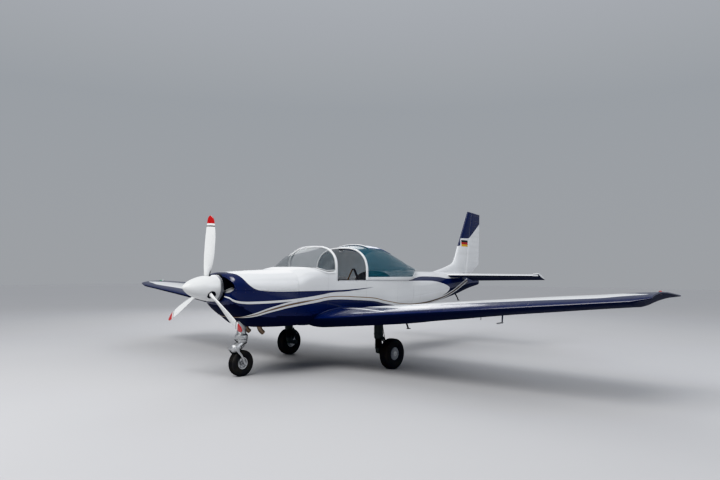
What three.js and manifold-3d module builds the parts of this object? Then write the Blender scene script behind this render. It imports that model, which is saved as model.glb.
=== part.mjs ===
// Low-wing two-seat training aircraft: three-blade propeller, fixed nose-wheel gear, sliding canopy.
// Millimetres. +X is the aircraft's left, the nose points along -Y, +Z is up, and the wheels stand on z = 0.
import * as THREE from "three";
import { mergeVertices } from "three/addons/utils/BufferGeometryUtils.js";
import Module from "manifold-3d";

const wasm = await Module();
wasm.setup();

// Driving dimensions
const SPAN = 9750;
const LENGTH = 7500;
const FIN_TOP = 2770;
const SEAT_GAP = 0.3; // between pieces that touch
const RUN_GAP = 7; // between pieces that move past each other
const TAIL_Y = LENGTH / 2;
const HOLE_PLAY = 0.6; // a bore's radius over its pin's

// Propeller
const HUB = { y: -3405, z: 1200, tilt: 2.2 };
const BLADE = { radius: 943, root: 105, count: 3, phase: 3 };
const SPINNER_R = 176;
const BACKPLATE = { y: 142, thick: 16 }; // front face behind the hub centre, along the shaft

// Cowling, cabin and rear fuselage
const COWL_FRONT = -3230;
const COWL_SPLIT_Z = 1168;
const FIREWALL_Y = -2250;
const CABIN_END = 560;
const CONE_END = 3640; // last section of the tail cone
const SKIN = 22; // cabin panel with its frames and lining
const REAR_SKIN = 8; // rear fuselage panel with its stringers
const SILL_Z = 1290;
const OPENING_FRONT = -1510.4;
const DECK = { front: 0, skin: 10, shelf: 24 }; // narrow top deck behind the seats, and its side shelves

// Windshield and canopy
const ARCH = { y: -1510, depth: 44, width: 1066, tube: 34 };
const GLASS = 8;
const CANOPY = { front: -842, rail: 1302 };

// Wing
const TIP_X = 4690;
const WING_START = 240; // inner end, under the belly
const WING_ROOT = { le: -1905, te: -20, z: 706, up: 118, down: 104 };
const WING_TIP = { le: -1700, te: -470, z: 1138, up: 84, down: 66 };
const FLAP = { x0: 660, x1: 2640, chord: 0.27 };
const AILERON = { x0: 2660, x1: 4560, chord: 0.27 };

// Tail
const TAILPLANE = { z: 1384, tip: 1835, hingeY: 2800 };
const ELEVATOR_REST = 21; // degrees trailing edge down, as parked

// Landing gear
const MAIN = { x: 1128, y: -920, tyreR: 222, tyreW: 158, legX: 985, legY: -1060 };
const NOSE_GEAR = { y: -2820, tyreR: 176, tyreW: 128 };

const PAINT = { white: "#eceff1", navy: "#1b2a63", dark: "#23262b", steel: "#a9adb2" };

const finishes = {
  white: { color: PAINT.white, roughness: 0.25, metalness: 0.1 },
  navy: { color: PAINT.navy, roughness: 0.22, metalness: 0.1 },
  dark: { color: PAINT.dark, roughness: 0.7, metalness: 0.0 },
  steel: { color: PAINT.steel, roughness: 0.35, metalness: 0.9 },
  tyre: { color: "#1c1c1d", roughness: 0.9, metalness: 0.0 },
  seat: { color: "#3b3f47", roughness: 0.85, metalness: 0.0 },
  clear: { color: "#bfe0e4", roughness: 0.05, metalness: 0.0 },
};

const aircraft = new THREE.Group();
const V = (x, y, z) => new THREE.Vector3(x, y, z);
const rad = THREE.MathUtils.degToRad;
const mix = THREE.MathUtils.lerp;

// Solids: a closed geometry becomes a manifold solid and comes back as a geometry
function solid(geometry) {
  const plain = geometry.clone();
  plain.deleteAttribute("normal");
  plain.deleteAttribute("uv");
  const merged = mergeVertices(plain, 1e-3);
  const mesh = new wasm.Mesh({
    numProp: 3,
    vertProperties: new Float32Array(merged.attributes.position.array),
    triVerts: new Uint32Array(merged.index.array),
  });
  const made = new wasm.Manifold(mesh);
  if (made.volume() > 0) return made;
  const turned = mesh.triVerts.slice();
  for (let i = 0; i < turned.length; i += 3) [turned[i], turned[i + 1]] = [turned[i + 1], turned[i]];
  return new wasm.Manifold(
    new wasm.Mesh({ numProp: 3, vertProperties: mesh.vertProperties, triVerts: turned }),
  );
}

function geometryOf(body) {
  const mesh = body.getMesh();
  const position = new Float32Array(mesh.numVert * 3);
  for (let i = 0; i < mesh.numVert; i++) {
    position.set(mesh.vertProperties.subarray(i * mesh.numProp, i * mesh.numProp + 3), i * 3);
  }
  const geometry = new THREE.BufferGeometry();
  geometry.setAttribute("position", new THREE.BufferAttribute(position, 3));
  geometry.setIndex(new THREE.BufferAttribute(mesh.triVerts, 1));
  geometry.computeVertexNormals();
  return geometry;
}

function piece(name, body, finish, group = aircraft) {
  const geometry = body.isBufferGeometry ? body : geometryOf(body);
  const mesh = new THREE.Mesh(geometry, new THREE.MeshStandardMaterial(finishes[finish]));
  mesh.name = name;
  group.add(mesh);
  return mesh;
}

const union = (list) => list.reduce((a, b) => a.add(b));
const place = (geometry, x, y, z) => solid(geometry.translate(x, y, z));

function box(x0, x1, y0, y1, z0, z1) {
  const geometry = new THREE.BoxGeometry(x1 - x0, y1 - y0, z1 - z0);
  return place(geometry, (x0 + x1) / 2, (y0 + y1) / 2, (z0 + z1) / 2);
}

// A round bar from one point to another
function bar(from, to, r0, r1 = r0, sides = 16) {
  const along = to.clone().sub(from);
  const geometry = new THREE.CylinderGeometry(r1, r0, along.length(), sides);
  const turn = new THREE.Quaternion().setFromUnitVectors(V(0, 1, 0), along.clone().normalize());
  geometry.applyQuaternion(turn);
  const mid = from.clone().add(to).multiplyScalar(0.5);
  return place(geometry, mid.x, mid.y, mid.z);
}

// A body through closed rings of equal count, capped at both ends. A thin bent end ring is capped across its
// thickness, as a ladder, because its centre lies outside it.
function loft(rings, thinEnd = false) {
  const count = rings[0].length;
  const position = rings.flat().flatMap((p) => [p.x, p.y, p.z]);
  const index = [];
  for (let i = 0; i + 1 < rings.length; i++) {
    for (let j = 0; j < count; j++) {
      const a = i * count + j;
      const b = i * count + ((j + 1) % count);
      index.push(a, b, a + count, b, b + count, a + count);
    }
  }
  const last = (rings.length - 1) * count;
  for (let j = 0; thinEnd && j < (count - 1) / 2; j++) {
    const [a, b, c, d] = [j, j + 1, count - 2 - j, count - 1 - j].map((k) => last + k);
    index.push(a, b, d);
    if (b !== c) index.push(b, c, d);
  }
  for (const [ring, first] of thinEnd ? [[rings[0], 0]] : [[rings[0], 0], [rings.at(-1), last]]) {
    const centre = ring.reduce((sum, p) => sum.add(p), V(0, 0, 0)).divideScalar(count);
    const middle = position.length / 3;
    position.push(centre.x, centre.y, centre.z);
    for (let j = 0; j < count; j++) {
      const next = (j + 1) % count;
      if (first) index.push(first + j, first + next, middle);
      else index.push(next, j, middle);
    }
  }
  const geometry = new THREE.BufferGeometry();
  geometry.setAttribute("position", new THREE.Float32BufferAttribute(position, 3));
  geometry.setIndex(index);
  return solid(geometry);
}

// A sheet of even thickness over a grid of outer points, thickened inwards along its normals
function sheet(grid, thickness) {
  const rows = grid.length;
  const cols = grid[0].length;
  const inner = grid.map((row, i) =>
    row.map((p, j) => {
      const du = grid[Math.min(i + 1, rows - 1)][j].clone().sub(grid[Math.max(i - 1, 0)][j]);
      const dv = row[Math.min(j + 1, cols - 1)].clone().sub(row[Math.max(j - 1, 0)]);
      return p.clone().addScaledVector(du.cross(dv).normalize(), thickness);
    }),
  );
  const position = [...grid.flat(), ...inner.flat()].flatMap((p) => [p.x, p.y, p.z]);
  const index = [];
  const at = (i, j, side) => side * rows * cols + i * cols + j;
  const quad = (a, b, c, d) => index.push(a, b, c, a, c, d);
  for (let i = 0; i + 1 < rows; i++) {
    for (let j = 0; j + 1 < cols; j++) {
      quad(at(i, j, 0), at(i, j + 1, 0), at(i + 1, j + 1, 0), at(i + 1, j, 0));
      quad(at(i, j, 1), at(i + 1, j, 1), at(i + 1, j + 1, 1), at(i, j + 1, 1));
    }
    quad(at(i, 0, 0), at(i + 1, 0, 0), at(i + 1, 0, 1), at(i, 0, 1));
    quad(at(i, cols - 1, 0), at(i, cols - 1, 1), at(i + 1, cols - 1, 1), at(i + 1, cols - 1, 0));
  }
  for (let j = 0; j + 1 < cols; j++) {
    quad(at(0, j, 0), at(0, j, 1), at(0, j + 1, 1), at(0, j + 1, 0));
    quad(at(rows - 1, j, 0), at(rows - 1, j + 1, 0), at(rows - 1, j + 1, 1), at(rows - 1, j, 1));
  }
  const geometry = new THREE.BufferGeometry();
  geometry.setAttribute("position", new THREE.Float32BufferAttribute(position, 3));
  geometry.setIndex(index);
  return solid(geometry);
}

// A profile in the YZ plane (points [y, z]) swept across x0 to x1
function prismX(profile, x0, x1) {
  const shape = new THREE.Shape(profile.map(([y, z]) => new THREE.Vector2(y, z)));
  const geometry = new THREE.ExtrudeGeometry(shape, { depth: x1 - x0, bevelEnabled: false });
  geometry.applyMatrix4(
    new THREE.Matrix4().makeBasis(V(0, 1, 0), V(0, 0, 1), V(1, 0, 0)).setPosition(x0, 0, 0),
  );
  return solid(geometry);
}

// A lathe about an axis along X; profile points are [x, radius]
function latheX(profile, at, sides = 28) {
  const geometry = new THREE.LatheGeometry(
    profile.map(([x, r]) => new THREE.Vector2(r, x)),
    sides,
  );
  geometry.rotateZ(-Math.PI / 2);
  return place(geometry, at.x, at.y, at.z);
}

// The same about an axis along Y; profile points are [y, radius]
function latheY(profile, at, sides = 28) {
  const geometry = new THREE.LatheGeometry(
    profile.map(([y, r]) => new THREE.Vector2(r, y)),
    sides,
  );
  return place(geometry, at.x, at.y, at.z);
}

const power = (value, n) => Math.sign(value) * Math.abs(value) ** (2 / n);

// Fuselage section: half width, top, waist and bottom heights, and how square the upper and lower halves are
function ringAt(s, inset = 0, count = 32) {
  const points = [];
  for (let i = 0; i < count; i++) {
    const a = ((i + 0.5) / count) * Math.PI * 2;
    const upper = Math.sin(a) > 0;
    const n = upper ? s.squareTop : s.squareLow;
    const reach = upper ? s.top - s.waist : s.waist - s.low;
    points.push(
      V(
        (s.half - inset) * power(Math.cos(a), n),
        s.y,
        s.waist + (reach - inset) * power(Math.sin(a), n),
      ),
    );
  }
  return points;
}

const columns = ["y", "half", "top", "waist", "low", "squareTop", "squareLow"];
const table = (rows) => rows.map((row) => Object.fromEntries(columns.map((key, i) => [key, row[i]])));
const between = (a, b, t) => Object.fromEntries(columns.map((key) => [key, mix(a[key], b[key], t)]));

// y, half width, top, waist, bottom, squareness of the top, squareness of the bottom
const FUSELAGE = table([
  [-3230, 302, 1398, 1190, 1006, 2.6, 2.2],
  [-3110, 374, 1414, 1185, 905, 2.8, 2.3],
  [-2960, 424, 1424, 1180, 792, 3.0, 2.4],
  [-2830, 456, 1430, 1170, 690, 3.1, 2.6],
  [-2600, 492, 1440, 1150, 652, 3.2, 2.8],
  [-2250, 524, 1462, 1120, 640, 3.4, 3.0],
  [-2100, 530, 1488, 1100, 640, 4.6, 3.0],
  [-1800, 536, 1494, 1080, 642, 7.0, 3.0],
  [-1500, 542, 1496, 1080, 645, 8.0, 3.0],
  [-700, 562, 1496, 1080, 660, 6.0, 3.0],
  [0, 540, 1480, 1090, 690, 4.0, 2.9],
  [560, 470, 1452, 1110, 730, 2.6, 2.8],
  [1200, 380, 1450, 1130, 795, 2.3, 2.6],
  [1900, 280, 1450, 1170, 876, 2.2, 2.5],
  [2600, 185, 1447, 1220, 985, 2.2, 2.4],
  [3190, 105, 1424, 1260, 1108, 2.2, 2.3],
  [CONE_END, 40, 1300, 1235, 1180, 2.0, 2.0],
]);

function sectionAt(y) {
  const i = FUSELAGE.findIndex((s, k) => k && s.y >= y);
  const [a, b] = [FUSELAGE[i - 1], FUSELAGE[i]];
  return between(a, b, (y - a.y) / (b.y - a.y));
}

function stations(y0, y1) {
  return [sectionAt(y0), ...FUSELAGE.filter((s) => s.y > y0 + 1 && s.y < y1 - 1), sectionAt(y1)];
}

function hull(y0, y1, inset = 0) {
  return loft(stations(y0, y1).map((s) => ringAt(s, inset)));
}

// Cowling: a front bowl with two cooling inlets and a shaft hole, split at the waist
const COWL_WALL = 16;
const FRONT_WALL = 26;
const INLET = { x: 206, z: 1240, rx: 100, rz: 98 };
const SHAFT_HOLE_R = 86;
const cowlShell = (() => {
  const outer = hull(COWL_FRONT + 0.01, FIREWALL_Y - SEAT_GAP);
  const inner = loft(
    stations(COWL_FRONT + FRONT_WALL, FIREWALL_Y - SEAT_GAP).map((s, i, all) => {
      const ring = ringAt(s, COWL_WALL);
      return i === all.length - 1 ? ring.map((p) => p.setY(p.y + 10)) : ring;
    }),
  );
  const hole = (x, z, rx, rz) => {
    const geometry = new THREE.CylinderGeometry(1, 1, 160, 24);
    geometry.scale(rx, 1, rz);
    return place(geometry, x, COWL_FRONT, z);
  };
  return outer
    .subtract(inner)
    .subtract(hole(INLET.x, INLET.z, INLET.rx, INLET.rz))
    .subtract(hole(-INLET.x, INLET.z, INLET.rx, INLET.rz))
    .subtract(hole(0, HUB.z, SHAFT_HOLE_R, SHAFT_HOLE_R));
})();
const halfSpace = (z0, z1) => box(-900, 900, COWL_FRONT - 50, FIREWALL_Y + 50, z0, z1);
const EXHAUST = { x: 150, y: -2640, r: 34 };
const NOSE_BAY = { half: 105, y0: -2960, y1: -2690 };
const lowerOpenings = union([
  box(-NOSE_BAY.half, NOSE_BAY.half, NOSE_BAY.y0, NOSE_BAY.y1, 560, 860),
  box(-EXHAUST.x - 60, -EXHAUST.x + 60, EXHAUST.y - 60, EXHAUST.y + 60, 560, 760),
  box(EXHAUST.x - 60, EXHAUST.x + 60, EXHAUST.y - 60, EXHAUST.y + 60, 560, 760),
]);
piece("cowl_upper", cowlShell.intersect(halfSpace(COWL_SPLIT_Z + SEAT_GAP, 2000)), "navy");
piece("cowl_lower", cowlShell.intersect(halfSpace(0, COWL_SPLIT_Z)).subtract(lowerOpenings), "navy");

// Engine block with its shaft, and the mount that carries it on the firewall
const ENGINE = { half: 330, y0: -2960, y1: -2440, z0: 950, z1: 1335 };
const CYLINDERS = { half: 384, z0: 1035, z1: 1290 };
const MOUNT_FOOT = { x: 300, z: 130 };
const HUB_BACK = BACKPLATE.y - SEAT_GAP;
const shaftPoint = (s) => V(0, HUB.y + s * Math.cos(rad(HUB.tilt)), HUB.z - s * Math.sin(rad(HUB.tilt)));
piece(
  "engine_block",
  union([
    box(-ENGINE.half, ENGINE.half, ENGINE.y0, ENGINE.y1, ENGINE.z0, ENGINE.z1),
    box(-CYLINDERS.half, CYLINDERS.half, ENGINE.y0, ENGINE.y1, CYLINDERS.z0, CYLINDERS.z1),
    bar(shaftPoint(HUB_BACK + SEAT_GAP * 2), shaftPoint(520), 44),
  ]),
  "dark",
);
const engineCentreZ = (ENGINE.z0 + ENGINE.z1) / 2;
piece(
  "engine_mount",
  union([
    box(-360, 360, FIREWALL_Y - 22, FIREWALL_Y - 2, engineCentreZ - 190, engineCentreZ + 190),
    ...[-1, 1].flatMap((sx) =>
      [-1, 1].map((sz) =>
        bar(
          V(sx * MOUNT_FOOT.x, FIREWALL_Y - 12, engineCentreZ + sz * MOUNT_FOOT.z),
          V(sx * 180, ENGINE.y1 + SEAT_GAP + 12, engineCentreZ + sz * 90),
          14,
        ),
      ),
    ),
    box(-220, 220, ENGINE.y1 + SEAT_GAP, ENGINE.y1 + 24, engineCentreZ - 120, engineCentreZ + 120),
  ]),
  "steel",
);
const slid = (ring, by) => ring.map((p) => V(p.x, p.y + by, p.z));
const bulkhead = (y, ahead, behind) => {
  const ring = ringAt(sectionAt(y), SKIN + SEAT_GAP);
  return loft([slid(ring, -ahead), slid(ring, behind)]);
};
piece("firewall", bulkhead(FIREWALL_Y, 1.6, 8), "steel");

// Cabin tub: the middle fuselage, open over the seats
const tubOuter = hull(FIREWALL_Y, CABIN_END);
const tubRings = stations(FIREWALL_Y, CABIN_END).map((s) => ringAt(s, SKIN));
const tubInner = loft([slid(tubRings[0], -20), ...tubRings, slid(tubRings.at(-1), 20)]);
const openingCut = box(-900, 900, OPENING_FRONT, CABIN_END + 50, SILL_Z, 2200);
const DECK_CUT = { front: -2060, back: OPENING_FRONT + 20 }; // open under the windshield
const deckPlan = new THREE.Shape();
deckPlan.moveTo(-500, DECK_CUT.back);
deckPlan.lineTo(-500, -1690);
deckPlan.quadraticCurveTo(-330, -1960, 0, DECK_CUT.front);
deckPlan.quadraticCurveTo(330, -1960, 500, -1690);
deckPlan.lineTo(500, DECK_CUT.back);
const deckCut = solid(
  new THREE.ExtrudeGeometry(deckPlan, { depth: 400, bevelEnabled: false, curveSegments: 6 }),
).translate([0, 0, 1400]);
const deckSection = sectionAt(CABIN_END);
const deckLoft = (inset, extra) =>
  loft([DECK.front - extra, CABIN_END + extra].map((y) => ringAt({ ...deckSection, y }, inset)));
const deckBand = (half, z0, z1) => box(-half, half, DECK.front, CABIN_END, z0, z1);
const deck = deckLoft(0, 0)
  .subtract(deckLoft(DECK.skin, 20))
  .intersect(deckBand(900, SILL_Z - DECK.shelf, 2000));
const shelf = tubOuter
  .intersect(deckBand(900, SILL_Z - DECK.shelf, SILL_Z))
  .subtract(deckLoft(DECK.skin, 20));
const cabinTub = tubOuter
  .subtract(tubInner)
  .subtract(openingCut)
  .subtract(deckCut)
  .add(deck)
  .add(shelf);
piece("cabin_tub", cabinTub, "white");

// Rear bulkhead and rear fuselage shell with its tail cone
piece("rear_bulkhead", bulkhead(CABIN_END, 6, 6), "white");
const TAIL_SOLID_Y = 3010;
const rearOuter = hull(CABIN_END + SEAT_GAP, CONE_END);
const rearInner = loft(
  stations(CABIN_END + SEAT_GAP, TAIL_SOLID_Y).map((s, i) =>
    ringAt(s, REAR_SKIN).map((p) => p.setY(p.y - (i === 0 ? 20 : 0))),
  ),
);

// Tail surfaces: sections with a round nose, a straight taper and a thin trailing edge
const AIRFOIL = [
  // share of chord, share of the thickness above and below
  [0.0, 0.0, 0.0],
  [0.015, 0.26, 0.26],
  [0.06, 0.52, 0.5],
  [0.15, 0.81, 0.78],
  [0.3, 1.0, 1.0],
  [0.5, 0.87, 0.86],
  [0.72, 0.53, 0.52],
  [1.0, 0.03, 0.03],
];

// A closed section ring: chord along +Y from the leading edge, thickness along Z, at a station x
function foilRing(s, to = 1) {
  const upper = [];
  const lower = [];
  for (const [t, up, down] of AIRFOIL) {
    if (t > to) break;
    const y = mix(s.le, s.te, t);
    upper.push(V(s.x, y, s.z + s.up * up));
    if (t > 0) lower.push(V(s.x, y, s.z - s.down * down));
  }
  return [...lower.reverse(), ...upper];
}

// A control surface section: a round nose about the hinge and a taper to the trailing edge
function controlRing(s) {
  const ring = [V(s.x, s.te, s.z + s.edge), V(s.x, s.y + s.r * 0.1, s.z + s.r)];
  for (let k = 1; k < 6; k++) {
    const a = Math.PI / 2 + (k / 6) * Math.PI;
    ring.push(V(s.x, s.y + s.r * Math.cos(a), s.z + s.r * Math.sin(a)));
  }
  ring.push(V(s.x, s.y + s.r * 0.1, s.z - s.r), V(s.x, s.te, s.z - s.edge));
  return ring;
}

const mirrored = (ring) => ring.map((p) => V(-p.x, p.y, p.z)).reverse();

// Tailplane, one span-wide piece set into the rear fuselage, and the elevator behind it
const TP = {
  root: { x: 0, le: 2110, te: 3110, z: TAILPLANE.z, up: 44, down: 44 },
  tip: { x: TAILPLANE.tip, le: 2390, te: 3020, z: TAILPLANE.z, up: 28, down: 28 },
};
const RUDDER_AXIS = { y: 3090, z: 1430, slope: 0.2266 };
const hingeAt = (z) => RUDDER_AXIS.y + (z - RUDDER_AXIS.z) * RUDDER_AXIS.slope;
const tailSections = [-1, 0, 1].map((side) => {
  const s = side ? TP.tip : TP.root;
  return foilRing({ ...s, x: side * s.x });
});
const ELEVATOR_NOSE = 28;
// The elevator's balance ahead of the hinge at each tip
const HORN = { inner: 1725, front: 2690, half: 20, gap: 10 };
const behind = (x0, x1, y) => box(x0, x1, y, 4200, TAILPLANE.z - 200, TAILPLANE.z + 200);
const tailplaneCut = union([
  behind(-TAILPLANE.tip - 50, TAILPLANE.tip + 50, TAILPLANE.hingeY - ELEVATOR_NOSE - RUN_GAP),
  behind(HORN.inner - RUN_GAP, TAILPLANE.tip + 50, HORN.front - HORN.gap),
  behind(-TAILPLANE.tip - 50, RUN_GAP - HORN.inner, HORN.front - HORN.gap),
]);
const tailplane = loft(tailSections).subtract(tailplaneCut);
const grown = (body, by) =>
  union(
    [[by, 0, 0], [-by, 0, 0], [0, by, 0], [0, -by, 0], [0, 0, by], [0, 0, -by]].map((d) =>
      body.translate(d),
    ),
  );
piece("tailplane", tailplane, "white");

const ELEVATOR = { inner: 162, cutback: 40, rootTe: 3120, tipTe: 3018, tube: 15 };
function elevatorRing(x, t, cutback) {
  const ring = controlRing({
    x,
    y: TAILPLANE.hingeY,
    z: TAILPLANE.z,
    r: mix(ELEVATOR_NOSE, HORN.half, t),
    te: mix(ELEVATOR.rootTe, ELEVATOR.tipTe, t),
    edge: 2,
  });
  return ring.map((p) => p.setX(p.x + (p.y > TAILPLANE.hingeY + 60 ? cutback : 0)));
}
function elevatorHalf(side) {
  const rings = [
    elevatorRing(ELEVATOR.inner, ELEVATOR.inner / TAILPLANE.tip, ELEVATOR.cutback),
    elevatorRing(TAILPLANE.tip, 1, 0),
  ];
  const horn = prismX(
    [
      [HORN.front, TAILPLANE.z - 9],
      [HORN.front, TAILPLANE.z + 9],
      [HORN.front + 40, TAILPLANE.z + HORN.half],
      [TAILPLANE.hingeY + 4, TAILPLANE.z + HORN.half],
      [TAILPLANE.hingeY + 4, TAILPLANE.z - HORN.half],
      [HORN.front + 40, TAILPLANE.z - HORN.half],
    ],
    side > 0 ? HORN.inner : -TAILPLANE.tip,
    side > 0 ? TAILPLANE.tip : -HORN.inner,
  );
  return loft(side > 0 ? rings : rings.map(mirrored)).add(horn);
}
const elevatorTube = (half, r) =>
  bar(V(-half, TAILPLANE.hingeY, TAILPLANE.z), V(half, TAILPLANE.hingeY, TAILPLANE.z), r);
const elevatorAxis = [0, TAILPLANE.hingeY, TAILPLANE.z];
const elevator = union([
  elevatorHalf(1),
  elevatorHalf(-1),
  elevatorTube(ELEVATOR.inner + 40, ELEVATOR.tube),
])
  .translate(elevatorAxis.map((v) => -v))
  .rotate([-ELEVATOR_REST, 0, 0])
  .translate(elevatorAxis);
piece("elevator", elevator, "white");

// Fin with its dorsal fillet, and the rudder
const RUDDER_NOSE = { low: 42, top: 24 };
const RUDDER_PIN = 8;
const rudderAxisPoint = (z) => V(0, hingeAt(z), z);
const TOP_SLOPE = 0.06; // the fin's and the rudder's top falls towards the trailing edge
const topped = (p, z) => (z === FIN_TOP ? p.setZ(z - TOP_SLOPE * (p.y - FIN_SECTIONS.at(-1)[1])) : p);
const finShare = (z) => (z - RUDDER_AXIS.z) / (FIN_TOP - RUDDER_AXIS.z);
const rudderNose = (z) => mix(RUDDER_NOSE.low, RUDDER_NOSE.top, finShare(z));
const FIN_SECTIONS = [
  // height, leading edge
  [1432, 1760],
  [1520, 2190],
  [1640, 2590],
  [2000, 2800],
  [FIN_TOP, 3215],
];
function finRing([z, le]) {
  const half = rudderNose(z) + 3;
  const chord = hingeAt(z) - rudderNose(z) - RUN_GAP - le;
  const shares = [[0, 0], [0.03, 0.3], [0.12, 0.62], [0.4, 0.95], [0.75, 1], [1, 0.9]];
  const nearSide = shares.map(([t, w]) => V(half * w, le + t * chord, z));
  const farSide = shares.slice(1).map(([t, w]) => V(-half * w, le + t * chord, z));
  return [...nearSide, ...farSide.reverse()].map((p) => topped(p, z));
}
const fin = loft(FIN_SECTIONS.map(finRing));
const RUDDER_FOOT_Z = 1408;
const RUDDER_SECTIONS = [
  // height, trailing edge
  [RUDDER_FOOT_Z, 3330],
  [1632, 3694],
  [FIN_TOP, TAIL_Y],
];
const rudderRing = ([z, te]) =>
  controlRing({ x: 0, y: hingeAt(z), z: 0, r: rudderNose(z), te, edge: 3 }).map((p) =>
    topped(V(p.z, p.y, z), z),
  );
const rudder = loft(RUDDER_SECTIONS.map(rudderRing)).subtract(
  bar(rudderAxisPoint(1360), rudderAxisPoint(1495), RUDDER_PIN + HOLE_PLAY),
);
piece("rudder", rudder, "white");

const rearFuselage = rearOuter
  .subtract(rearInner)
  .subtract(grown(tailplane, SEAT_GAP * 2))
  .subtract(box(-140, 140, 3030, 3800, RUDDER_FOOT_Z - RUN_GAP, 1700))
  .add(bar(rudderAxisPoint(RUDDER_FOOT_Z - 40), rudderAxisPoint(RUDDER_FOOT_Z + 70), RUDDER_PIN))
  .subtract(elevatorTube(200, ELEVATOR.tube + HOLE_PLAY));
piece("rear_fuselage", rearFuselage, "white");
piece(
  "fin",
  fin.subtract(hull(CABIN_END, CONE_END, -SEAT_GAP * 2)).subtract(grown(tailplane, SEAT_GAP)),
  "white",
);

// Wings: main box with bays for flap and aileron, a bevelled tip, and the moving surfaces
function wingAt(x) {
  const t = x / TIP_X;
  const s = { x };
  for (const key of ["le", "te", "z", "up", "down"]) s[key] = mix(WING_ROOT[key], WING_TIP[key], t);
  return s;
}

function surfaceAt(x, share, trim) {
  const w = wingAt(x);
  const y = mix(w.le, w.te, 1 - share);
  const k = 0.53;
  const r = ((w.up + w.down) / 2) * k - trim;
  return { x, y: y + r * 0.3, z: w.z + ((w.up - w.down) / 2) * k, r, te: w.te, edge: 3 };
}

const WING_BODY = (side) => {
  const rings = [WING_START, 1800, TIP_X].map((x) => foilRing(wingAt(x)));
  return loft(side > 0 ? rings : rings.map(mirrored));
};
function bayCut(bay, side) {
  const plan = new THREE.Shape();
  const inner = surfaceAt(bay.x0, bay.chord, 0);
  const outer = surfaceAt(bay.x1, bay.chord, 0);
  plan.moveTo(side * (bay.x0 - RUN_GAP), inner.y - inner.r - RUN_GAP);
  plan.lineTo(side * (bay.x1 + RUN_GAP), outer.y - outer.r - RUN_GAP);
  plan.lineTo(side * (bay.x1 + RUN_GAP), 400);
  plan.lineTo(side * (bay.x0 - RUN_GAP), 400);
  return solid(new THREE.ExtrudeGeometry(plan, { depth: 1400, bevelEnabled: false })).translate([
    0, 0, 300,
  ]);
}

// Hinge pins stand on the bay's end walls and enter the ends of the moving surface
const HINGE_PIN = 7;
function hingePins(bay, side, r, extra = 0) {
  const [a, b] = [bay.x0, bay.x1].map((x) => {
    const c = surfaceAt(x, bay.chord, 2);
    return V(side * c.x, c.y, c.z);
  });
  const along = b.clone().sub(a).normalize();
  const step = (from, by) => from.clone().addScaledVector(along, by);
  return union([
    bar(step(a, -RUN_GAP - 12), step(a, 34 + extra), r, r, 12),
    bar(step(b, -34 - extra), step(b, RUN_GAP + 12), r, r, 12),
  ]);
}

// The tip's underside slopes up to a thin outer edge at the height of the upper surface
const TIP_EDGE = { le: -1652, te: -430, z: 1178, up: 54, thick: 14 };

// What hangs under the wings: a tie-down eye on each, and the air-speed tube on the left one
const TIE_DOWN = { x: 2680, y: -1050, drop: 46, r: 9 };
const PITOT = { x: 3060, y: -1195, foot: 905, low: 800, nose: -1345, r: 8 };
const lowerAt = (x) => wingAt(x).z - wingAt(x).down;
function tieDown(side) {
  const at = (z) => V(side * TIE_DOWN.x, TIE_DOWN.y, z);
  const low = lowerAt(TIE_DOWN.x);
  const eye = box(-TIE_DOWN.r / 2, TIE_DOWN.r / 2, -18, 18, -TIE_DOWN.drop, 30)
    .subtract(bar(V(-20, 0, 12 - TIE_DOWN.drop), V(20, 0, 12 - TIE_DOWN.drop), 7))
    .translate(at(low).toArray());
  return bar(at(low - 6), at(low + 40), 22).add(eye);
}
const pitot = union([
  bar(V(PITOT.x, PITOT.y, PITOT.foot + 20), V(PITOT.x, PITOT.y, PITOT.low), PITOT.r * 1.6),
  bar(V(PITOT.x, PITOT.y + 12, PITOT.low), V(PITOT.x, PITOT.nose, PITOT.low), PITOT.r),
]);

const sides = [
  ["left", 1],
  ["right", -1],
];
for (const [name, side] of sides) {
  const hinged = [["flap", FLAP], ["aileron", AILERON]];
  let wing = WING_BODY(side);
  for (const [, bay] of hinged) wing = wing.subtract(bayCut(bay, side));
  wing = wing.subtract(hull(FIREWALL_Y, CABIN_END, -SEAT_GAP * 2));
  for (const [label, bay] of hinged) {
    const rings = [bay.x0, bay.x1].map((x) => controlRing(surfaceAt(x, bay.chord, 2)));
    const pins = hingePins(bay, side, HINGE_PIN);
    const bores = hingePins(bay, side, HINGE_PIN + HOLE_PLAY, 6);
    piece(`${label}_${name}`, loft(side > 0 ? rings : rings.map(mirrored)).subtract(bores), "white");
    wing = wing.add(pins);
  }
  wing = wing.add(tieDown(side));
  if (side > 0) wing = wing.add(pitot);
  piece(`wing_${name}`, wing, "navy");
  const tip = wingAt(TIP_X);
  const edge = foilRing({ ...TIP_EDGE, x: SPAN / 2, down: -TIP_EDGE.up });
  const lowCount = edge.length / 2 - 1;
  edge.forEach((p, i) => p.setZ(p.z - (i < lowCount ? TIP_EDGE.thick : 0)));
  const tipBody = loft([foilRing({ ...tip, x: TIP_X + SEAT_GAP }), edge], true);
  piece(`wing_tip_${name}`, side > 0 ? tipBody : tipBody.mirror([1, 0, 0]), "navy");
}

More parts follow.
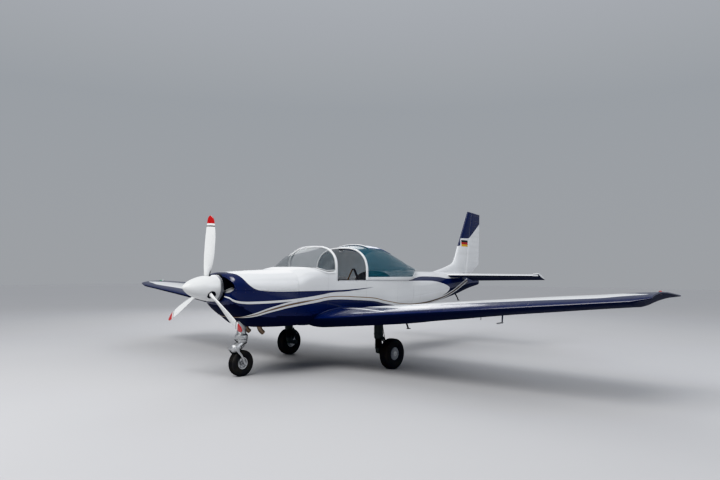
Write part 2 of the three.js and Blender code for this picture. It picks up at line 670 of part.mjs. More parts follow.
// Windshield: a bent sheet from the deck to the arch
const ARCH_N = 2.7;
const archPoint = (v, half, low, top) => {
  const a = v * Math.PI * 0.5;
  return V(half * power(Math.sin(a), ARCH_N), 0, low + (top - low) * power(Math.cos(a), ARCH_N));
};
const SHIELD = { low: 1450, top: 1816, front: -2095, side: -1640, half: 520, bulge: 26 };
function deckHeight(x, y) {
  const s = sectionAt(y);
  return s.waist + (s.top - s.waist) * (1 - (Math.abs(x) / s.half) ** s.squareTop) ** (1 / s.squareTop);
}
function shieldBase(v) {
  const bend = 0.84;
  const u = Math.min(Math.abs(v) / bend, 1);
  const x = Math.sign(v) * SHIELD.half * Math.sin((u * Math.PI) / 2);
  const y = mix(SHIELD.front, SHIELD.side, 1 - Math.cos((u * Math.PI) / 2));
  const rest = Math.max(0, (Math.abs(v) - bend) / (1 - bend));
  const along = mix(y, ARCH.y - 20, rest);
  return V(x, along, deckHeight(x, along) - 6);
}
const shieldGrid = [];
const SHIELD_ROWS = 6;
const SHIELD_COLS = 20;
for (let i = 0; i <= SHIELD_ROWS; i++) {
  const u = i / SHIELD_ROWS;
  const row = [];
  for (let j = 0; j <= SHIELD_COLS; j++) {
    const v = -1 + (2 * j) / SHIELD_COLS;
    const low = shieldBase(v);
    const high = archPoint(v, SHIELD.half, SHIELD.low + 12, SHIELD.top).setY(ARCH.y - 1);
    const out = Math.sin(u * Math.PI) * SHIELD.bulge * Math.cos((v * Math.PI) / 2);
    row.push(low.lerp(high, u).add(V(0, -out * 0.6, out)));
  }
  shieldGrid.push(row);
}

// The arch behind the windshield, a bent flat hoop standing on the cabin sills
function hoop(half, low, foot, top, y0, y1, depth) {
  const outline = (inset) => {
    const points = [];
    for (let j = 0; j <= 24; j++) points.push(archPoint(-1 + j / 12, half - inset, low, top - inset));
    points[0].setZ(foot);
    points[24].setZ(foot);
    return points;
  };
  const outer = outline(0);
  const inner = outline(depth);
  const shape = new THREE.Shape(
    [...outer, ...inner.reverse()].map((p) => new THREE.Vector2(p.x, p.z)),
  );
  const geometry = new THREE.ExtrudeGeometry(shape, { depth: y1 - y0, bevelEnabled: false });
  geometry.applyMatrix4(
    new THREE.Matrix4().makeBasis(V(1, 0, 0), V(0, 0, 1), V(0, -1, 0)).setPosition(0, y1, 0),
  );
  return solid(geometry);
}
const archHoop = hoop(
  ARCH.width / 2, 1470, SILL_Z + SEAT_GAP, 1824, ARCH.y, ARCH.y + ARCH.depth, ARCH.tube,
);
piece("windshield_arch", archHoop, "white");
piece(
  "windshield",
  sheet(shieldGrid, GLASS).subtract(grown(archHoop.add(cabinTub), SEAT_GAP)),
  "clear",
);

// Canopy: one bent shell, parted into front bow and rails, roof panel and glazing
const canopyColumns = ["y", "half", "low", "top"];
const CANOPY_SHAPE = [
  // along, half width, rail height, top
  [CANOPY.front, 560, CANOPY.rail, 1815],
  [-700, 564, CANOPY.rail, 1846],
  [-500, 566, CANOPY.rail, 1878],
  [-200, 560, CANOPY.rail, 1892],
  [100, 538, CANOPY.rail, 1866],
  [350, 500, CANOPY.rail, 1806],
  [560, 444, 1310, 1738],
  [760, 352, 1396, 1664],
  [960, 228, 1448, 1580],
  [1130, 96, 1466, 1510],
].map((row) => Object.fromEntries(canopyColumns.map((key, i) => [key, row[i]])));
const CANOPY_COLS = 22;
const canopyGrid = CANOPY_SHAPE.map((s) => {
  const row = [];
  for (let j = 0; j <= CANOPY_COLS; j++) {
    const v = 1 - (2 * j) / CANOPY_COLS;
    const wall = Math.min(90, (s.top - s.low) / 3);
    const p = archPoint(v, s.half, s.low + wall, s.top);
    if (Math.abs(v) === 1) p.setZ(s.low);
    row.push(p.setY(s.y));
  }
  return row;
});
const canopyShell = sheet(canopyGrid, GLASS + 4);
const BOW_DEPTH = 46;
const RAIL_HIGH = 46;
const ROOF = { half: 330, y0: -560, y1: 120 };
const railPrism = prismX(
  [
    [CANOPY.front - 10, 1200],
    [1250, 1200],
    [1250, 1490],
    [1100, 1490],
    [760, 1396 + RAIL_HIGH],
    [560, 1310 + RAIL_HIGH],
    [CANOPY.front - 10, CANOPY.rail + RAIL_HIGH],
  ],
  -700,
  700,
);
const bowPrism = box(-700, 700, CANOPY.front - 10, CANOPY.front + BOW_DEPTH, 1200, 2000);
const roofPrism = box(-ROOF.half, ROOF.half, ROOF.y0, ROOF.y1, 1700, 2000);
piece("canopy_frame", canopyShell.intersect(railPrism.add(bowPrism)), "white");
piece("canopy_roof", canopyShell.intersect(roofPrism), "navy");
piece(
  "canopy_glazing",
  canopyShell
    .subtract(grown(railPrism.add(bowPrism), SEAT_GAP * 1.2))
    .subtract(grown(roofPrism, SEAT_GAP * 1.2)),
  "clear",
);

// Rails that the canopy slides on, fixed along the sills
const RAIL = { y0: -1440, y1: 400, top: 1301.4, deep: 18 };
for (const [name, side] of sides) {
  const x0 = side > 0 ? 470 : -566;
  const blank = box(x0, x0 + 96, RAIL.y0, RAIL.y1, 1262, RAIL.top);
  const outline = hull(RAIL.y0 - 10, RAIL.y1 + 10, -4).subtract(hull(RAIL.y0 - 20, RAIL.y1 + 20, RAIL.deep));
  piece(`canopy_rail_${name}`, blank.intersect(outline).subtract(grown(cabinTub, SEAT_GAP)), "steel");
}

// Cabin inside: floor, panel, seats, sticks and console
const FLOOR = { z: 748, thick: 12 };
const FLOOR_TOP = FLOOR.z + FLOOR.thick + SEAT_GAP;
piece(
  "cabin_floor",
  hull(FIREWALL_Y + 12, 300, SKIN + SEAT_GAP * 2).intersect(
    box(-900, 900, -2200, 280, FLOOR.z, FLOOR.z + FLOOR.thick),
  ),
  "dark",
);
piece(
  "instrument_panel",
  union([
    box(-440, 440, -1800, -1776, 1120, 1420),
    prismX([[-1960, 1408], [-1740, 1432], [-1740, 1416], [-1960, 1392]], -400, 400),
    ...[-1, 1].map((s) => box(s * 430 - 12, s * 430 + 12, -2200, -1790, 1150, 1176)),
    box(-442, 442, FIREWALL_Y + 8.3, -2180, 1140, 1186),
  ]),
  "dark",
);
// The seat backs end at the sills: the photograph looks over them through the open cockpit
const SEAT_BACK = [[-800, 880], [-660, 880], [-549, 1270], [-654, 1292]]; // y, z
for (const [name, side] of sides) {
  const x = side * 252;
  piece(
    `seat_${name}`,
    union([
      box(x - 155, x + 155, -1150, -740, FLOOR_TOP, 830),
      box(x - 205, x + 205, -1180, -720, 820, 900),
      prismX(SEAT_BACK, x - 205, x + 205),
    ]),
    "seat",
  );
  piece(
    `control_stick_${name}`,
    union([
      bar(V(x, -1340, FLOOR_TOP + 8), V(x, -1380, 1010), 13),
      bar(V(x, -1340, FLOOR_TOP), V(x, -1340, FLOOR_TOP + 30), 34),
      bar(V(x, -1378, 1000), V(x, -1392, 1110), 21),
    ]),
    "dark",
  );
}
piece("centre_console", box(-34, 34, -1770, -1250, FLOOR_TOP, 960), "dark");

// Propeller group, tilted nose-up with the thrust line
const propeller = new THREE.Group();
propeller.position.set(0, HUB.y, HUB.z);
propeller.rotation.x = -rad(HUB.tilt);
aircraft.add(propeller);
const SPINNER_PROFILE = [
  // along the shaft, radius
  [-345.25, 0],
  [-339, 16],
  [-318, 38],
  [-270, 76],
  [-200, 112],
  [-110, 143],
  [0, 165],
  [80, 173],
  [BACKPLATE.y - SEAT_GAP, SPINNER_R],
];
const SPINNER_WALL = 6;
const spinnerOuter = latheY([...SPINNER_PROFILE, [BACKPLATE.y - SEAT_GAP, 0]].reverse(), V(0, 0, 0), 30);
const spinnerInner = latheY(
  [
    [SPINNER_PROFILE[1][0] + 4, 0],
    ...SPINNER_PROFILE.slice(2).map(([y, r]) => [y, r - SPINNER_WALL]),
    [BACKPLATE.y + 10, SPINNER_R - SPINNER_WALL],
    [BACKPLATE.y + 10, 0],
  ].reverse(),
  V(0, 0, 0),
  30,
);
const BLADE_HOLE_R = 56;
const aroundShaft = (k) => rad(BLADE.phase + (k * 360) / BLADE.count);
const outward = (k, r) => V(r * Math.sin(aroundShaft(k)), 0, r * Math.cos(aroundShaft(k)));
let spinner = spinnerOuter.subtract(spinnerInner);
for (let k = 0; k < BLADE.count; k++) {
  spinner = spinner.subtract(bar(outward(k, 60), outward(k, 260), BLADE_HOLE_R, BLADE_HOLE_R, 14));
}
piece("spinner", spinner, "white", propeller);
piece(
  "spinner_backplate",
  latheY(
    [[0, 50], [0, SPINNER_R + 1], [BACKPLATE.thick, SPINNER_R + 1], [BACKPLATE.thick, 50], [0, 50]],
    V(0, BACKPLATE.y, 0),
    30,
  ),
  "steel",
  propeller,
);
piece(
  "propeller_hub",
  union([
    latheY([[-70, 0], [-70, 70], [HUB_BACK, 70], [HUB_BACK, 0]].reverse(), V(0, 0, 0), 18),
    ...Array.from({ length: BLADE.count }, (_, k) =>
      bar(outward(k, 0), outward(k, BLADE.root - SEAT_GAP), 46),
    ),
  ]),
  "steel",
  propeller,
);
const BLADE_STATIONS = [
  // radius, chord, thickness, pitch, sweep of the centre line
  [BLADE.root, 70, 70, 60, 0],
  [190, 82, 52, 50, 0],
  [300, 128, 26, 40, 6],
  [460, 148, 18, 32, 8],
  [640, 146, 13, 26, 4],
  [800, 126, 10, 22, -4],
  [900, 96, 8, 20, -14],
  [BLADE.radius, 44, 6, 19, -24],
];
const BLADE_FOIL = [
  // share of chord from the centre, share of thickness
  [-0.5, 0],
  [-0.4, 0.5],
  [-0.1, 0.62],
  [0.25, 0.45],
  [0.5, 0],
  [0.25, -0.35],
  [-0.1, -0.45],
  [-0.4, -0.38],
];
function bladeRing([r, chord, thick, pitch, sweep]) {
  const round = r < 150;
  return BLADE_FOIL.map(([c, t], i) => {
    const a = (i / BLADE_FOIL.length) * Math.PI * 2;
    const along = round ? -0.5 * chord * Math.cos(a) : c * chord + sweep;
    const face = round ? 0.5 * thick * Math.sin(a) : t * thick;
    const p = rad(pitch);
    return V(along * Math.cos(p) + face * Math.sin(p), along * Math.sin(p) - face * Math.cos(p), r);
  });
}
for (let k = 0; k < BLADE.count; k++) {
  const blade = loft(BLADE_STATIONS.map(bladeRing));
  piece(`blade_${k + 1}`, blade, "white", propeller).rotation.y = aroundShaft(k);
}

// Wheels
function tyre(r, width, rimR) {
  const h = width / 2;
  return [
    [-h * 0.62, rimR],
    [-h * 0.96, rimR + (r - rimR) * 0.35],
    [-h, rimR + (r - rimR) * 0.6],
    [-h * 0.72, r * 0.965],
    [-h * 0.35, r],
    [h * 0.35, r],
    [h * 0.72, r * 0.965],
    [h, rimR + (r - rimR) * 0.6],
    [h * 0.96, rimR + (r - rimR) * 0.35],
    [h * 0.62, rimR],
    [-h * 0.62, rimR],
  ];
}
function rim(width, rimR, boreR) {
  const h = width / 2;
  const seat = rimR - SEAT_GAP;
  return [
    [-h * 0.6, boreR],
    [-h * 0.6, boreR + 22],
    [-h * 0.2, boreR + 26],
    [-h * 0.2, seat - 16],
    [-h * 0.6, seat - 10],
    [-h * 0.6, seat],
    [h * 0.6, seat],
    [h * 0.6, seat - 10],
    [h * 0.2, seat - 16],
    [h * 0.2, boreR + 26],
    [h * 0.6, boreR + 22],
    [h * 0.6, boreR],
    [-h * 0.6, boreR],
  ];
}
const AXLE_R = 20;
const BORE_R = AXLE_R + HOLE_PLAY;
for (const [name, side] of sides) {
  const hub = V(side * MAIN.x, MAIN.y, MAIN.tyreR);
  const rimR = 84;
  piece(`main_tyre_${name}`, latheX(tyre(MAIN.tyreR, MAIN.tyreW, rimR), hub, 26), "tyre");
  piece(`main_rim_${name}`, latheX(rim(MAIN.tyreW, rimR, BORE_R), hub, 26), "steel");
  const legX = side * MAIN.legX;
  const underside = wingAt(MAIN.legX);
  const leg = union([
    bar(V(legX, MAIN.legY, 452), V(legX, MAIN.legY, 740), 66, 78, 20),
    bar(V(legX, MAIN.legY, 240), V(legX, MAIN.legY, 470), 52, 56, 20),
    bar(V(legX, MAIN.legY, 270), V(legX, MAIN.y, MAIN.tyreR), 34),
    bar(hub.clone().setX(legX - side * 30), hub.clone().setX(side * (MAIN.x + 62)), AXLE_R, AXLE_R, 24),
    bar(hub.clone().setX(legX - side * 36), hub.clone().setX(legX + side * 34), 36),
    box(legX - 70, legX + 70, MAIN.legY - 90, MAIN.legY + 90, underside.z - 140, underside.z - 60),
  ]);
  const wingMesh = aircraft.children.find((m) => m.name === `wing_${name}`);
  piece(`main_leg_${name}`, leg.subtract(grown(solid(wingMesh.geometry), SEAT_GAP * 1.5)), "steel");
}

// Nose leg: fixed barrel, turning fork with axle, wheel, and the torque link between them
const NG = NOSE_GEAR;
const noseHubAt = (x) => V(x, NG.y, NG.tyreR);
const noseHub = noseHubAt(0);
const BARREL = { r: 60, footR: 80, foot: 500, flareTop: 600, top: 900 };
piece(
  "nose_leg",
  union([
    bar(V(0, NG.y, BARREL.foot), V(0, NG.y, BARREL.top), BARREL.r, BARREL.r, 24),
    bar(V(0, NG.y, BARREL.foot), V(0, NG.y, BARREL.flareTop), BARREL.footR, BARREL.r, 24),
    box(-60, 60, NG.y - 70, NG.y + 120, 880, 930),
    ...[-1, 1].map((s) => bar(V(s * 30, NG.y + 60, 905), V(s * 200, FIREWALL_Y - 8.5, 780), 16)),
  ]),
  "steel",
);
// Under the barrel a collar turns with a slanted casting, whose pivot tube carries the two trailing arms
const COLLAR = { top: BARREL.foot - SEAT_GAP, foot: 442, r: 76 };
const PIVOT = { y: -2942, z: 374, half: 92, r: 26 };
const ARM_X = NG.tyreW / 2 + 28;
const ARM_POINTS = [
  // along, height
  [PIVOT.y, PIVOT.z],
  [-2896, 306],
  [-2842, 244],
  [NG.y, NG.tyreR],
];
const armPoint = (s, [y, z]) => V(s * ARM_X, y, z);
const NOSE_AXLE = { r: 14, half: 102 };
const NOSE_RIM_R = 68;
piece(
  "nose_fork",
  union([
    bar(V(0, NG.y, COLLAR.foot), V(0, NG.y, COLLAR.top), COLLAR.r - 8, COLLAR.r, 24),
    bar(V(0, NG.y - 16, 446), V(0, PIVOT.y + 6, PIVOT.z + 16), 60, 48, 20),
    bar(V(-PIVOT.half, PIVOT.y, PIVOT.z), V(PIVOT.half, PIVOT.y, PIVOT.z), PIVOT.r),
    ...[-1, 1].flatMap((s) =>
      ARM_POINTS.slice(1).map((p, i) => bar(armPoint(s, ARM_POINTS[i]), armPoint(s, p), 17 - i, 16 - i, 12)),
    ),
    ...[-1, 1].map((s) => bar(V(s * 34, NG.y + 62, 462), V(s * 62, PIVOT.y + 24, PIVOT.z - 6), 8, 8, 10)),
    bar(noseHubAt(-NOSE_AXLE.half), noseHubAt(NOSE_AXLE.half), NOSE_AXLE.r, NOSE_AXLE.r, 24),
  ]),
  "steel",
);
piece("nose_tyre", latheX(tyre(NG.tyreR, NG.tyreW, NOSE_RIM_R), noseHub, 24), "tyre");
piece("nose_rim", latheX(rim(NG.tyreW, NOSE_RIM_R, NOSE_AXLE.r + HOLE_PLAY), noseHub, 24), "steel");

// Exhaust stubs under the cowling, and the tail bumper
for (const [name, side] of sides) {
  const top = V(side * EXHAUST.x, EXHAUST.y, ENGINE.z0 - SEAT_GAP);
  piece(
    `exhaust_${name}`,
    union([
      bar(V(top.x, top.y, 640), top, EXHAUST.r),
      bar(V(top.x, top.y - 6, 652), V(top.x, top.y + 70, 580), EXHAUST.r - 1),
    ]),
    "steel",
  );
}
// Boarding step on each side, behind the wing
const STEP_ROUTE = [V(450, 150, 830), V(556, 176, 640), V(600, 216, 480)];
for (const [name, side] of sides) {
  const points = STEP_ROUTE.map((p) => V(side * p.x, p.y, p.z));
  const foot = points.at(-1);
  const pad = box(foot.x - 34, foot.x + 34, foot.y - 34, foot.y + 62, foot.z - 12, foot.z + 4);
  piece(
    `entry_step_${name}`,
    union([bar(points[0], points[1], 13), bar(points[1], points[2], 13), pad]).subtract(
      hull(FIREWALL_Y, CABIN_END, -SEAT_GAP),
    ),
    "dark",
  );
}
const SKID = { y: 2690, z: 1004 };
piece(
  "tail_bumper",
  union([
    bar(V(0, SKID.y, SKID.z + 30), V(0, SKID.y + 150, 862), 11),
    box(-16, 16, SKID.y + 128, SKID.y + 172, 850, 866),
  ]).subtract(hull(CABIN_END, CONE_END, -SEAT_GAP)),
  "dark",
);

export default aircraft;
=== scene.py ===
# Looks of the light training aircraft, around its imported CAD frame.
# Metres. +X is the aircraft's left, the nose points along -Y, +Z is up, the wheels stand on z = 0.
import math

import bmesh
import bpy
import numpy as np
from mathutils import Matrix, Vector
from mathutils.bvhtree import BVHTree


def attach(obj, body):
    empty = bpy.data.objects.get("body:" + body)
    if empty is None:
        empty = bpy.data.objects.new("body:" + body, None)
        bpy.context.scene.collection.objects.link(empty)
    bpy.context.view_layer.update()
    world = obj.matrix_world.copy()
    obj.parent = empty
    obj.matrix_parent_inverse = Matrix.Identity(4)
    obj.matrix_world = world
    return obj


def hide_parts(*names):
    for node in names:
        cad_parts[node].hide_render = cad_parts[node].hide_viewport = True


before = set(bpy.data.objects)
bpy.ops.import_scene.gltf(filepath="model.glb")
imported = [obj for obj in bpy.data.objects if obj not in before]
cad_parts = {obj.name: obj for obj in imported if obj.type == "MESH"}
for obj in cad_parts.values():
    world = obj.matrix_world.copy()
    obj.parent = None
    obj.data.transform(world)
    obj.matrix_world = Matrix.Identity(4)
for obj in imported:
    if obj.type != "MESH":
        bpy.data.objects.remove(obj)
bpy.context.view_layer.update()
HALF_PI = math.pi / 2


# ---------------------------------------------------------------- curves and meshes
def smooth_table(rows):
    """A monotone smooth curve through rows: first column is the key, the rest come back as an array."""
    rows = np.array(rows, float)
    rows = rows[np.argsort(rows[:, 0])]
    key, values = rows[:, 0], rows[:, 1:]
    step = np.diff(key)[:, None]
    slope = np.diff(values, axis=0) / step
    tangent = np.zeros_like(values)
    tangent[0], tangent[-1] = slope[0], slope[-1]
    if len(key) > 2:
        a, b = slope[:-1], slope[1:]
        w1, w2 = 2 * step[1:] + step[:-1], step[1:] + 2 * step[:-1]
        same = (a * b) > 0
        with np.errstate(divide="ignore", invalid="ignore"):
            tangent[1:-1] = np.where(same, (w1 + w2) / (w1 / a + w2 / b), 0)

    def at(k):
        k = float(np.clip(k, key[0], key[-1]))
        i = int(np.clip(np.searchsorted(key, k) - 1, 0, len(key) - 2))
        h = key[i + 1] - key[i]
        t = (k - key[i]) / h
        return (
            (2 * t**3 - 3 * t**2 + 1) * values[i]
            + (t**3 - 2 * t**2 + t) * h * tangent[i]
            + (3 * t**2 - 2 * t**3) * values[i + 1]
            + (t**3 - t**2) * h * tangent[i + 1]
        )

    return at


def smooth_path(points, steps=8):
    """Points on a smooth line through the given ones."""
    p = [Vector(q) for q in points]
    p = [p[0] * 2 - p[1], *p, p[-1] * 2 - p[-2]]
    out = []
    for a, b, c, d in zip(p, p[1:], p[2:], p[3:]):
        for k in range(steps):
            t = k / steps
            out.append(
                0.5 * (2 * b + (c - a) * t + (2 * a - 5 * b + 4 * c - d) * t**2 + (3 * b - 3 * c + d - a) * t**3)
            )
    return [*out, p[-2]]


def linked(name, data):
    """A new object in the scene, made of a mesh, a light or a camera."""
    obj = bpy.data.objects.new(name, data)
    bpy.context.scene.collection.objects.link(obj)
    return obj


def new_object(name, verts, faces, mat=None):
    mesh = bpy.data.meshes.new(name)
    mesh.from_pydata([tuple(map(float, v)) for v in verts], [], faces)
    mesh.validate()
    obj = linked(name, mesh)
    if mat:
        mesh.materials.append(mat)
    return obj


def recalc(obj):
    """All faces of a closed mesh turned outwards."""
    bm = bmesh.new()
    bm.from_mesh(obj.data)
    bmesh.ops.remove_doubles(bm, verts=bm.verts, dist=1e-6)
    bmesh.ops.recalc_face_normals(bm, faces=bm.faces)
    bm.to_mesh(obj.data)
    bm.free()
    return obj


def grid(rows, around=True, loop=False, caps=True):
    """Vertices and faces over rows of points. around joins each row's ends, loop joins the last row to the first."""
    count = len(rows[0])
    verts = [p for row in rows for p in row]
    faces = []
    for i in range(len(rows) if loop else len(rows) - 1):
        for j in range(count if around else count - 1):
            a, b = i * count + j, i * count + (j + 1) % count
            c, d = ((i + 1) % len(rows)) * count + (j + 1) % count, ((i + 1) % len(rows)) * count + j
            faces.append((a, b, c, d))
    if around and caps and not loop:
        faces.append(tuple(range(count))[::-1])
        faces.append(tuple(range(len(verts) - count, len(verts))))
    return verts, faces


def solid(name, rows, mat=None, loop=False):
    """A closed body over rows of points, with flat ends unless its last row joins the first."""
    return recalc(new_object(name, *grid(rows, loop=loop), mat))


def surface_of(obj):
    """The object's faces, ready to find the nearest point or the first one along a ray."""
    return BVHTree.FromPolygons([v.co for v in obj.data.vertices], [tuple(p.vertices) for p in obj.data.polygons])


def bake(obj):
    """The object's modifiers, applied."""
    graph = bpy.context.evaluated_depsgraph_get()
    mesh = bpy.data.meshes.new_from_object(obj.evaluated_get(graph), depsgraph=graph)
    old = obj.data
    obj.modifiers.clear()
    obj.data = mesh
    bpy.data.meshes.remove(old)
    return obj


def cut(obj, cutters, operation="DIFFERENCE"):
    for c in cutters:
        m = obj.modifiers.new("cut", "BOOLEAN")
        m.object, m.operation, m.solver = c, operation, "EXACT"
    bake(obj)
    for c in cutters:
        bpy.data.meshes.remove(c.data)
    return obj


def bevelled(obj, width, segments=2, angle=30):
    m = obj.modifiers.new("bevel", "BEVEL")
    m.width, m.segments, m.limit_method, m.angle_limit = width, segments, "ANGLE", math.radians(angle)
    return bake(obj)


def joined(name, objs):
    """One object of several, with their materials kept."""
    verts, faces, slots, mats = [], [], [], []
    for o in objs:
        base = len(verts)
        verts += [o.matrix_world @ v.co for v in o.data.vertices]
        for m in o.data.materials:
            if m not in mats:
                mats.append(m)
        for f in o.data.polygons:
            faces.append(tuple(base + v for v in f.vertices))
            mat = o.data.materials[f.material_index] if o.data.materials else None
            slots.append(mats.index(mat) if mat else 0)
        bpy.data.meshes.remove(o.data)
    obj = new_object(name, verts, faces)
    for m in mats:
        obj.data.materials.append(m)
    obj.data.polygons.foreach_set("material_index", slots)
    return obj


def shaded(obj, angle=32):
    obj.data.polygons.foreach_set("use_smooth", [True] * len(obj.data.polygons))
    obj.data.set_sharp_from_angle(angle=math.radians(angle))
    return obj


def place(obj, body, nodes=(), angle=32):
    """The finished piece: smooth shading, the body it rides on and the nodes it stands for."""
    shaded(obj, angle)
    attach(obj, body)
    if nodes:
        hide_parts(*([nodes] if isinstance(nodes, str) else nodes))
    return obj


BOX_FACES = [(0, 1, 3, 2), (4, 6, 7, 5), (0, 4, 5, 1), (2, 3, 7, 6), (0, 2, 6, 4), (1, 5, 7, 3)]


def box(name, x0, x1, y0, y1, z0, z1, mat=None):
    corners = [(x, y, z) for x in (x0, x1) for y in (y0, y1) for z in (z0, z1)]
    return new_object(name, corners, BOX_FACES, mat)


def slab(name, centre, along, across, sizes, mat=None, bevel=0.0):
    """A flat block with its own directions; sizes run along, across and out."""
    c, a, b = Vector(centre), Vector(along).normalized(), Vector(across).normalized()
    n = a.cross(b)
    corners = [
        c + a * (sizes[0] / 2 * i) + b * (sizes[1] / 2 * j) + n * (sizes[2] / 2 * k)
        for i in (-1, 1) for j in (-1, 1) for k in (-1, 1)
    ]
    obj = recalc(new_object(name, corners, BOX_FACES, mat))
    return bevelled(obj, bevel) if bevel else obj


def turns(count, share=0.0):
    """Even angles round a circle, from a share of one step on."""
    return [2 * math.pi * (k + share) / count for k in range(count)]


def heading(path, i):
    """The way a path runs at its point i."""
    return (path[min(i + 1, len(path) - 1)] - path[max(i - 1, 0)]).normalized()


def sideways(path, ups):
    """The directions across a path that lies on a surface with these normals."""
    return [heading(path, i).cross(up).normalized() for i, up in enumerate(ups)]


def frames_along(path):
    """Each point of a path with two directions across it, carried on without a twist."""
    frames = []
    side = heading(path, 0).orthogonal().normalized()
    for i, p in enumerate(path):
        along = heading(path, i)
        side = (side - along * side.dot(along)).normalized()
        frames.append((p, side, along.cross(side)))
    return frames


def tube(name, points, radius, mat=None, sides=16, steps=6, smooth=True):
    """A round bar along a line; radius may be one number or one for each point."""
    path = smooth_path(points, steps) if smooth and len(points) > 2 else [Vector(p) for p in points]
    if isinstance(radius, (int, float)):
        radii = [radius] * len(path)
    else:
        place_of = np.linspace(0, len(radius) - 1, len(path))
        radii = list(np.interp(place_of, range(len(radius)), radius))
    rows = [
        [p + (side * math.cos(a) + up * math.sin(a)) * r for a in turns(sides)]
        for (p, side, up), r in zip(frames_along(path), radii)
    ]
    return solid(name, rows, mat)


def lathe(name, profile, centre, axis, mat=None, sides=64, smooth=0, closed=False):
    """A body of revolution. Profile points are (distance along the axis, radius)."""
    if smooth:
        at = smooth_table([(i, *p) for i, p in enumerate(profile)])
        profile = [tuple(at(t)) for t in np.linspace(0, len(profile) - 1, (len(profile) - 1) * smooth + 1)]
    axis = Vector(axis).normalized()
    side = axis.orthogonal().normalized()
    up = axis.cross(side)
    centre = Vector(centre)
    rows = []
    for along, r in profile:
        r = max(r, 1e-5)
        rows.append([centre + axis * along + (side * math.cos(a) + up * math.sin(a)) * r for a in turns(sides)])
    return solid(name, rows, mat, loop=closed)


def sweep(name, path, sides, ups, outline, mat=None, closed=False):
    """An outline of (across, up) carried along a path that has its own directions at each point."""
    rows = [[Vector(p) + s * a + u * b for a, b in outline] for p, s, u in zip(path, sides, ups)]
    return solid(name, rows, mat, loop=closed)


def flat_bar(name, points, widths, thickness, across, mat):
    """A flat bar along a path: thickness along across, its own width at each point."""
    path = smooth_path(points, 6) if len(points) > 2 else [Vector(p) for p in points]
    wide = np.interp(np.linspace(0, len(widths) - 1, len(path)), range(len(widths)), widths)
    across = Vector(across)
    ups = [heading(path, i).cross(across).normalized() * float(w) for i, w in enumerate(wide)]
    return sweep(name, path, [across] * len(path), ups, pill(thickness, 1.0, 20, 3), mat)


def power(value, n):
    """The value's size to the power 2 / n, with its sign: a rounder or squarer ellipse."""
    return math.copysign(abs(value) ** (2 / n), value)


def pill(width, height, count=12, square=4):
    """A flat rounded outline."""
    return [
        (width / 2 * power(math.cos(a), square), height / 2 * power(math.sin(a), square)) for a in turns(count, 0.5)
    ]


def hollow_tube(name, points, radius, wall, mat, sides=32, steps=6):
    """An open-ended pipe."""
    rows = []
    frames = frames_along(smooth_path(points, steps))
    for r, order in ((radius, frames), (radius - wall, frames[::-1])):
        for p, side, up in order:
            rows.append([p + side * (r * math.cos(a)) + up * (r * math.sin(a)) for a in turns(sides)])
    return solid(name, rows, mat, loop=True)


def prism(name, outline, axis, start, end, mat=None, bevel=0.0):
    """An outline of two coordinates, swept along the third axis."""
    others = [i for i in range(3) if i != axis]
    rows = []
    for value in (start, end):
        row = []
        for p in outline:
            v = [0.0, 0.0, 0.0]
            v[axis] = value
            v[others[0]], v[others[1]] = p
            row.append(Vector(v))
        rows.append(row)
    obj = solid(name, rows, mat)
    return bevelled(obj, bevel) if bevel else obj


def moved(obj, matrix):
    obj.data.transform(matrix)
    return obj


def stud(at, out, radius, height, mat, sides=12):
    """A small round fastener head on a surface."""
    return lathe("s", [(-0.001, radius), (height * 0.55, radius), (height, radius * 0.7)], at, out, mat, sides)


def thick_sheet(name, rows, thickness, mat):
    """A sheet of even thickness over a grid of outer points."""
    obj = new_object(name, *grid(rows, around=False), mat)
    m = obj.modifiers.new("wall", "SOLIDIFY")
    m.thickness, m.offset, m.use_even_offset = thickness, -1, True
    return recalc(bake(obj))


SIDES = (("left", 1), ("right", -1))


# ---------------------------------------------------------------- materials
class Field:
    """A number over the surface, made by shader nodes."""

    def __init__(self, look, socket):
        self.look, self.socket = look, socket

    def __add__(self, other):
        return self.look.math("ADD", self, other)

    def __sub__(self, other):
        return self.look.math("SUBTRACT", self, other)

    def __rsub__(self, other):
        return self.look.math("SUBTRACT", other, self)

    def __mul__(self, other):
        return self.look.math("MULTIPLY", self, other)

    def __abs__(self):
        return self.look.math("ABSOLUTE", self)

    __radd__ = __add__
    __rmul__ = __mul__

    def over(self, edge, soft=0.0007):
        """1 where the field is over edge, 0 where it is under, with a soft step between."""
        k = 0.5 / soft
        return self.look.math("MULTIPLY_ADD", self - edge, k, 0.5, clamp=True)

    def under(self, edge, soft=0.0007):
        return 1.0 - self.over(edge, soft)

    def between(self, low, high, soft=0.0007):
        return self.over(low, soft) * self.under(high, soft)

    def near(self, value, half, soft=0.0007):
        return abs(self - value).under(half, soft)

    def or_(self, other):
        return self.look.math("MAXIMUM", self, other)

    def every(self, length):
        """Distance from the nearest multiple of length."""
        return self.look.math("PINGPONG", self, length / 2)


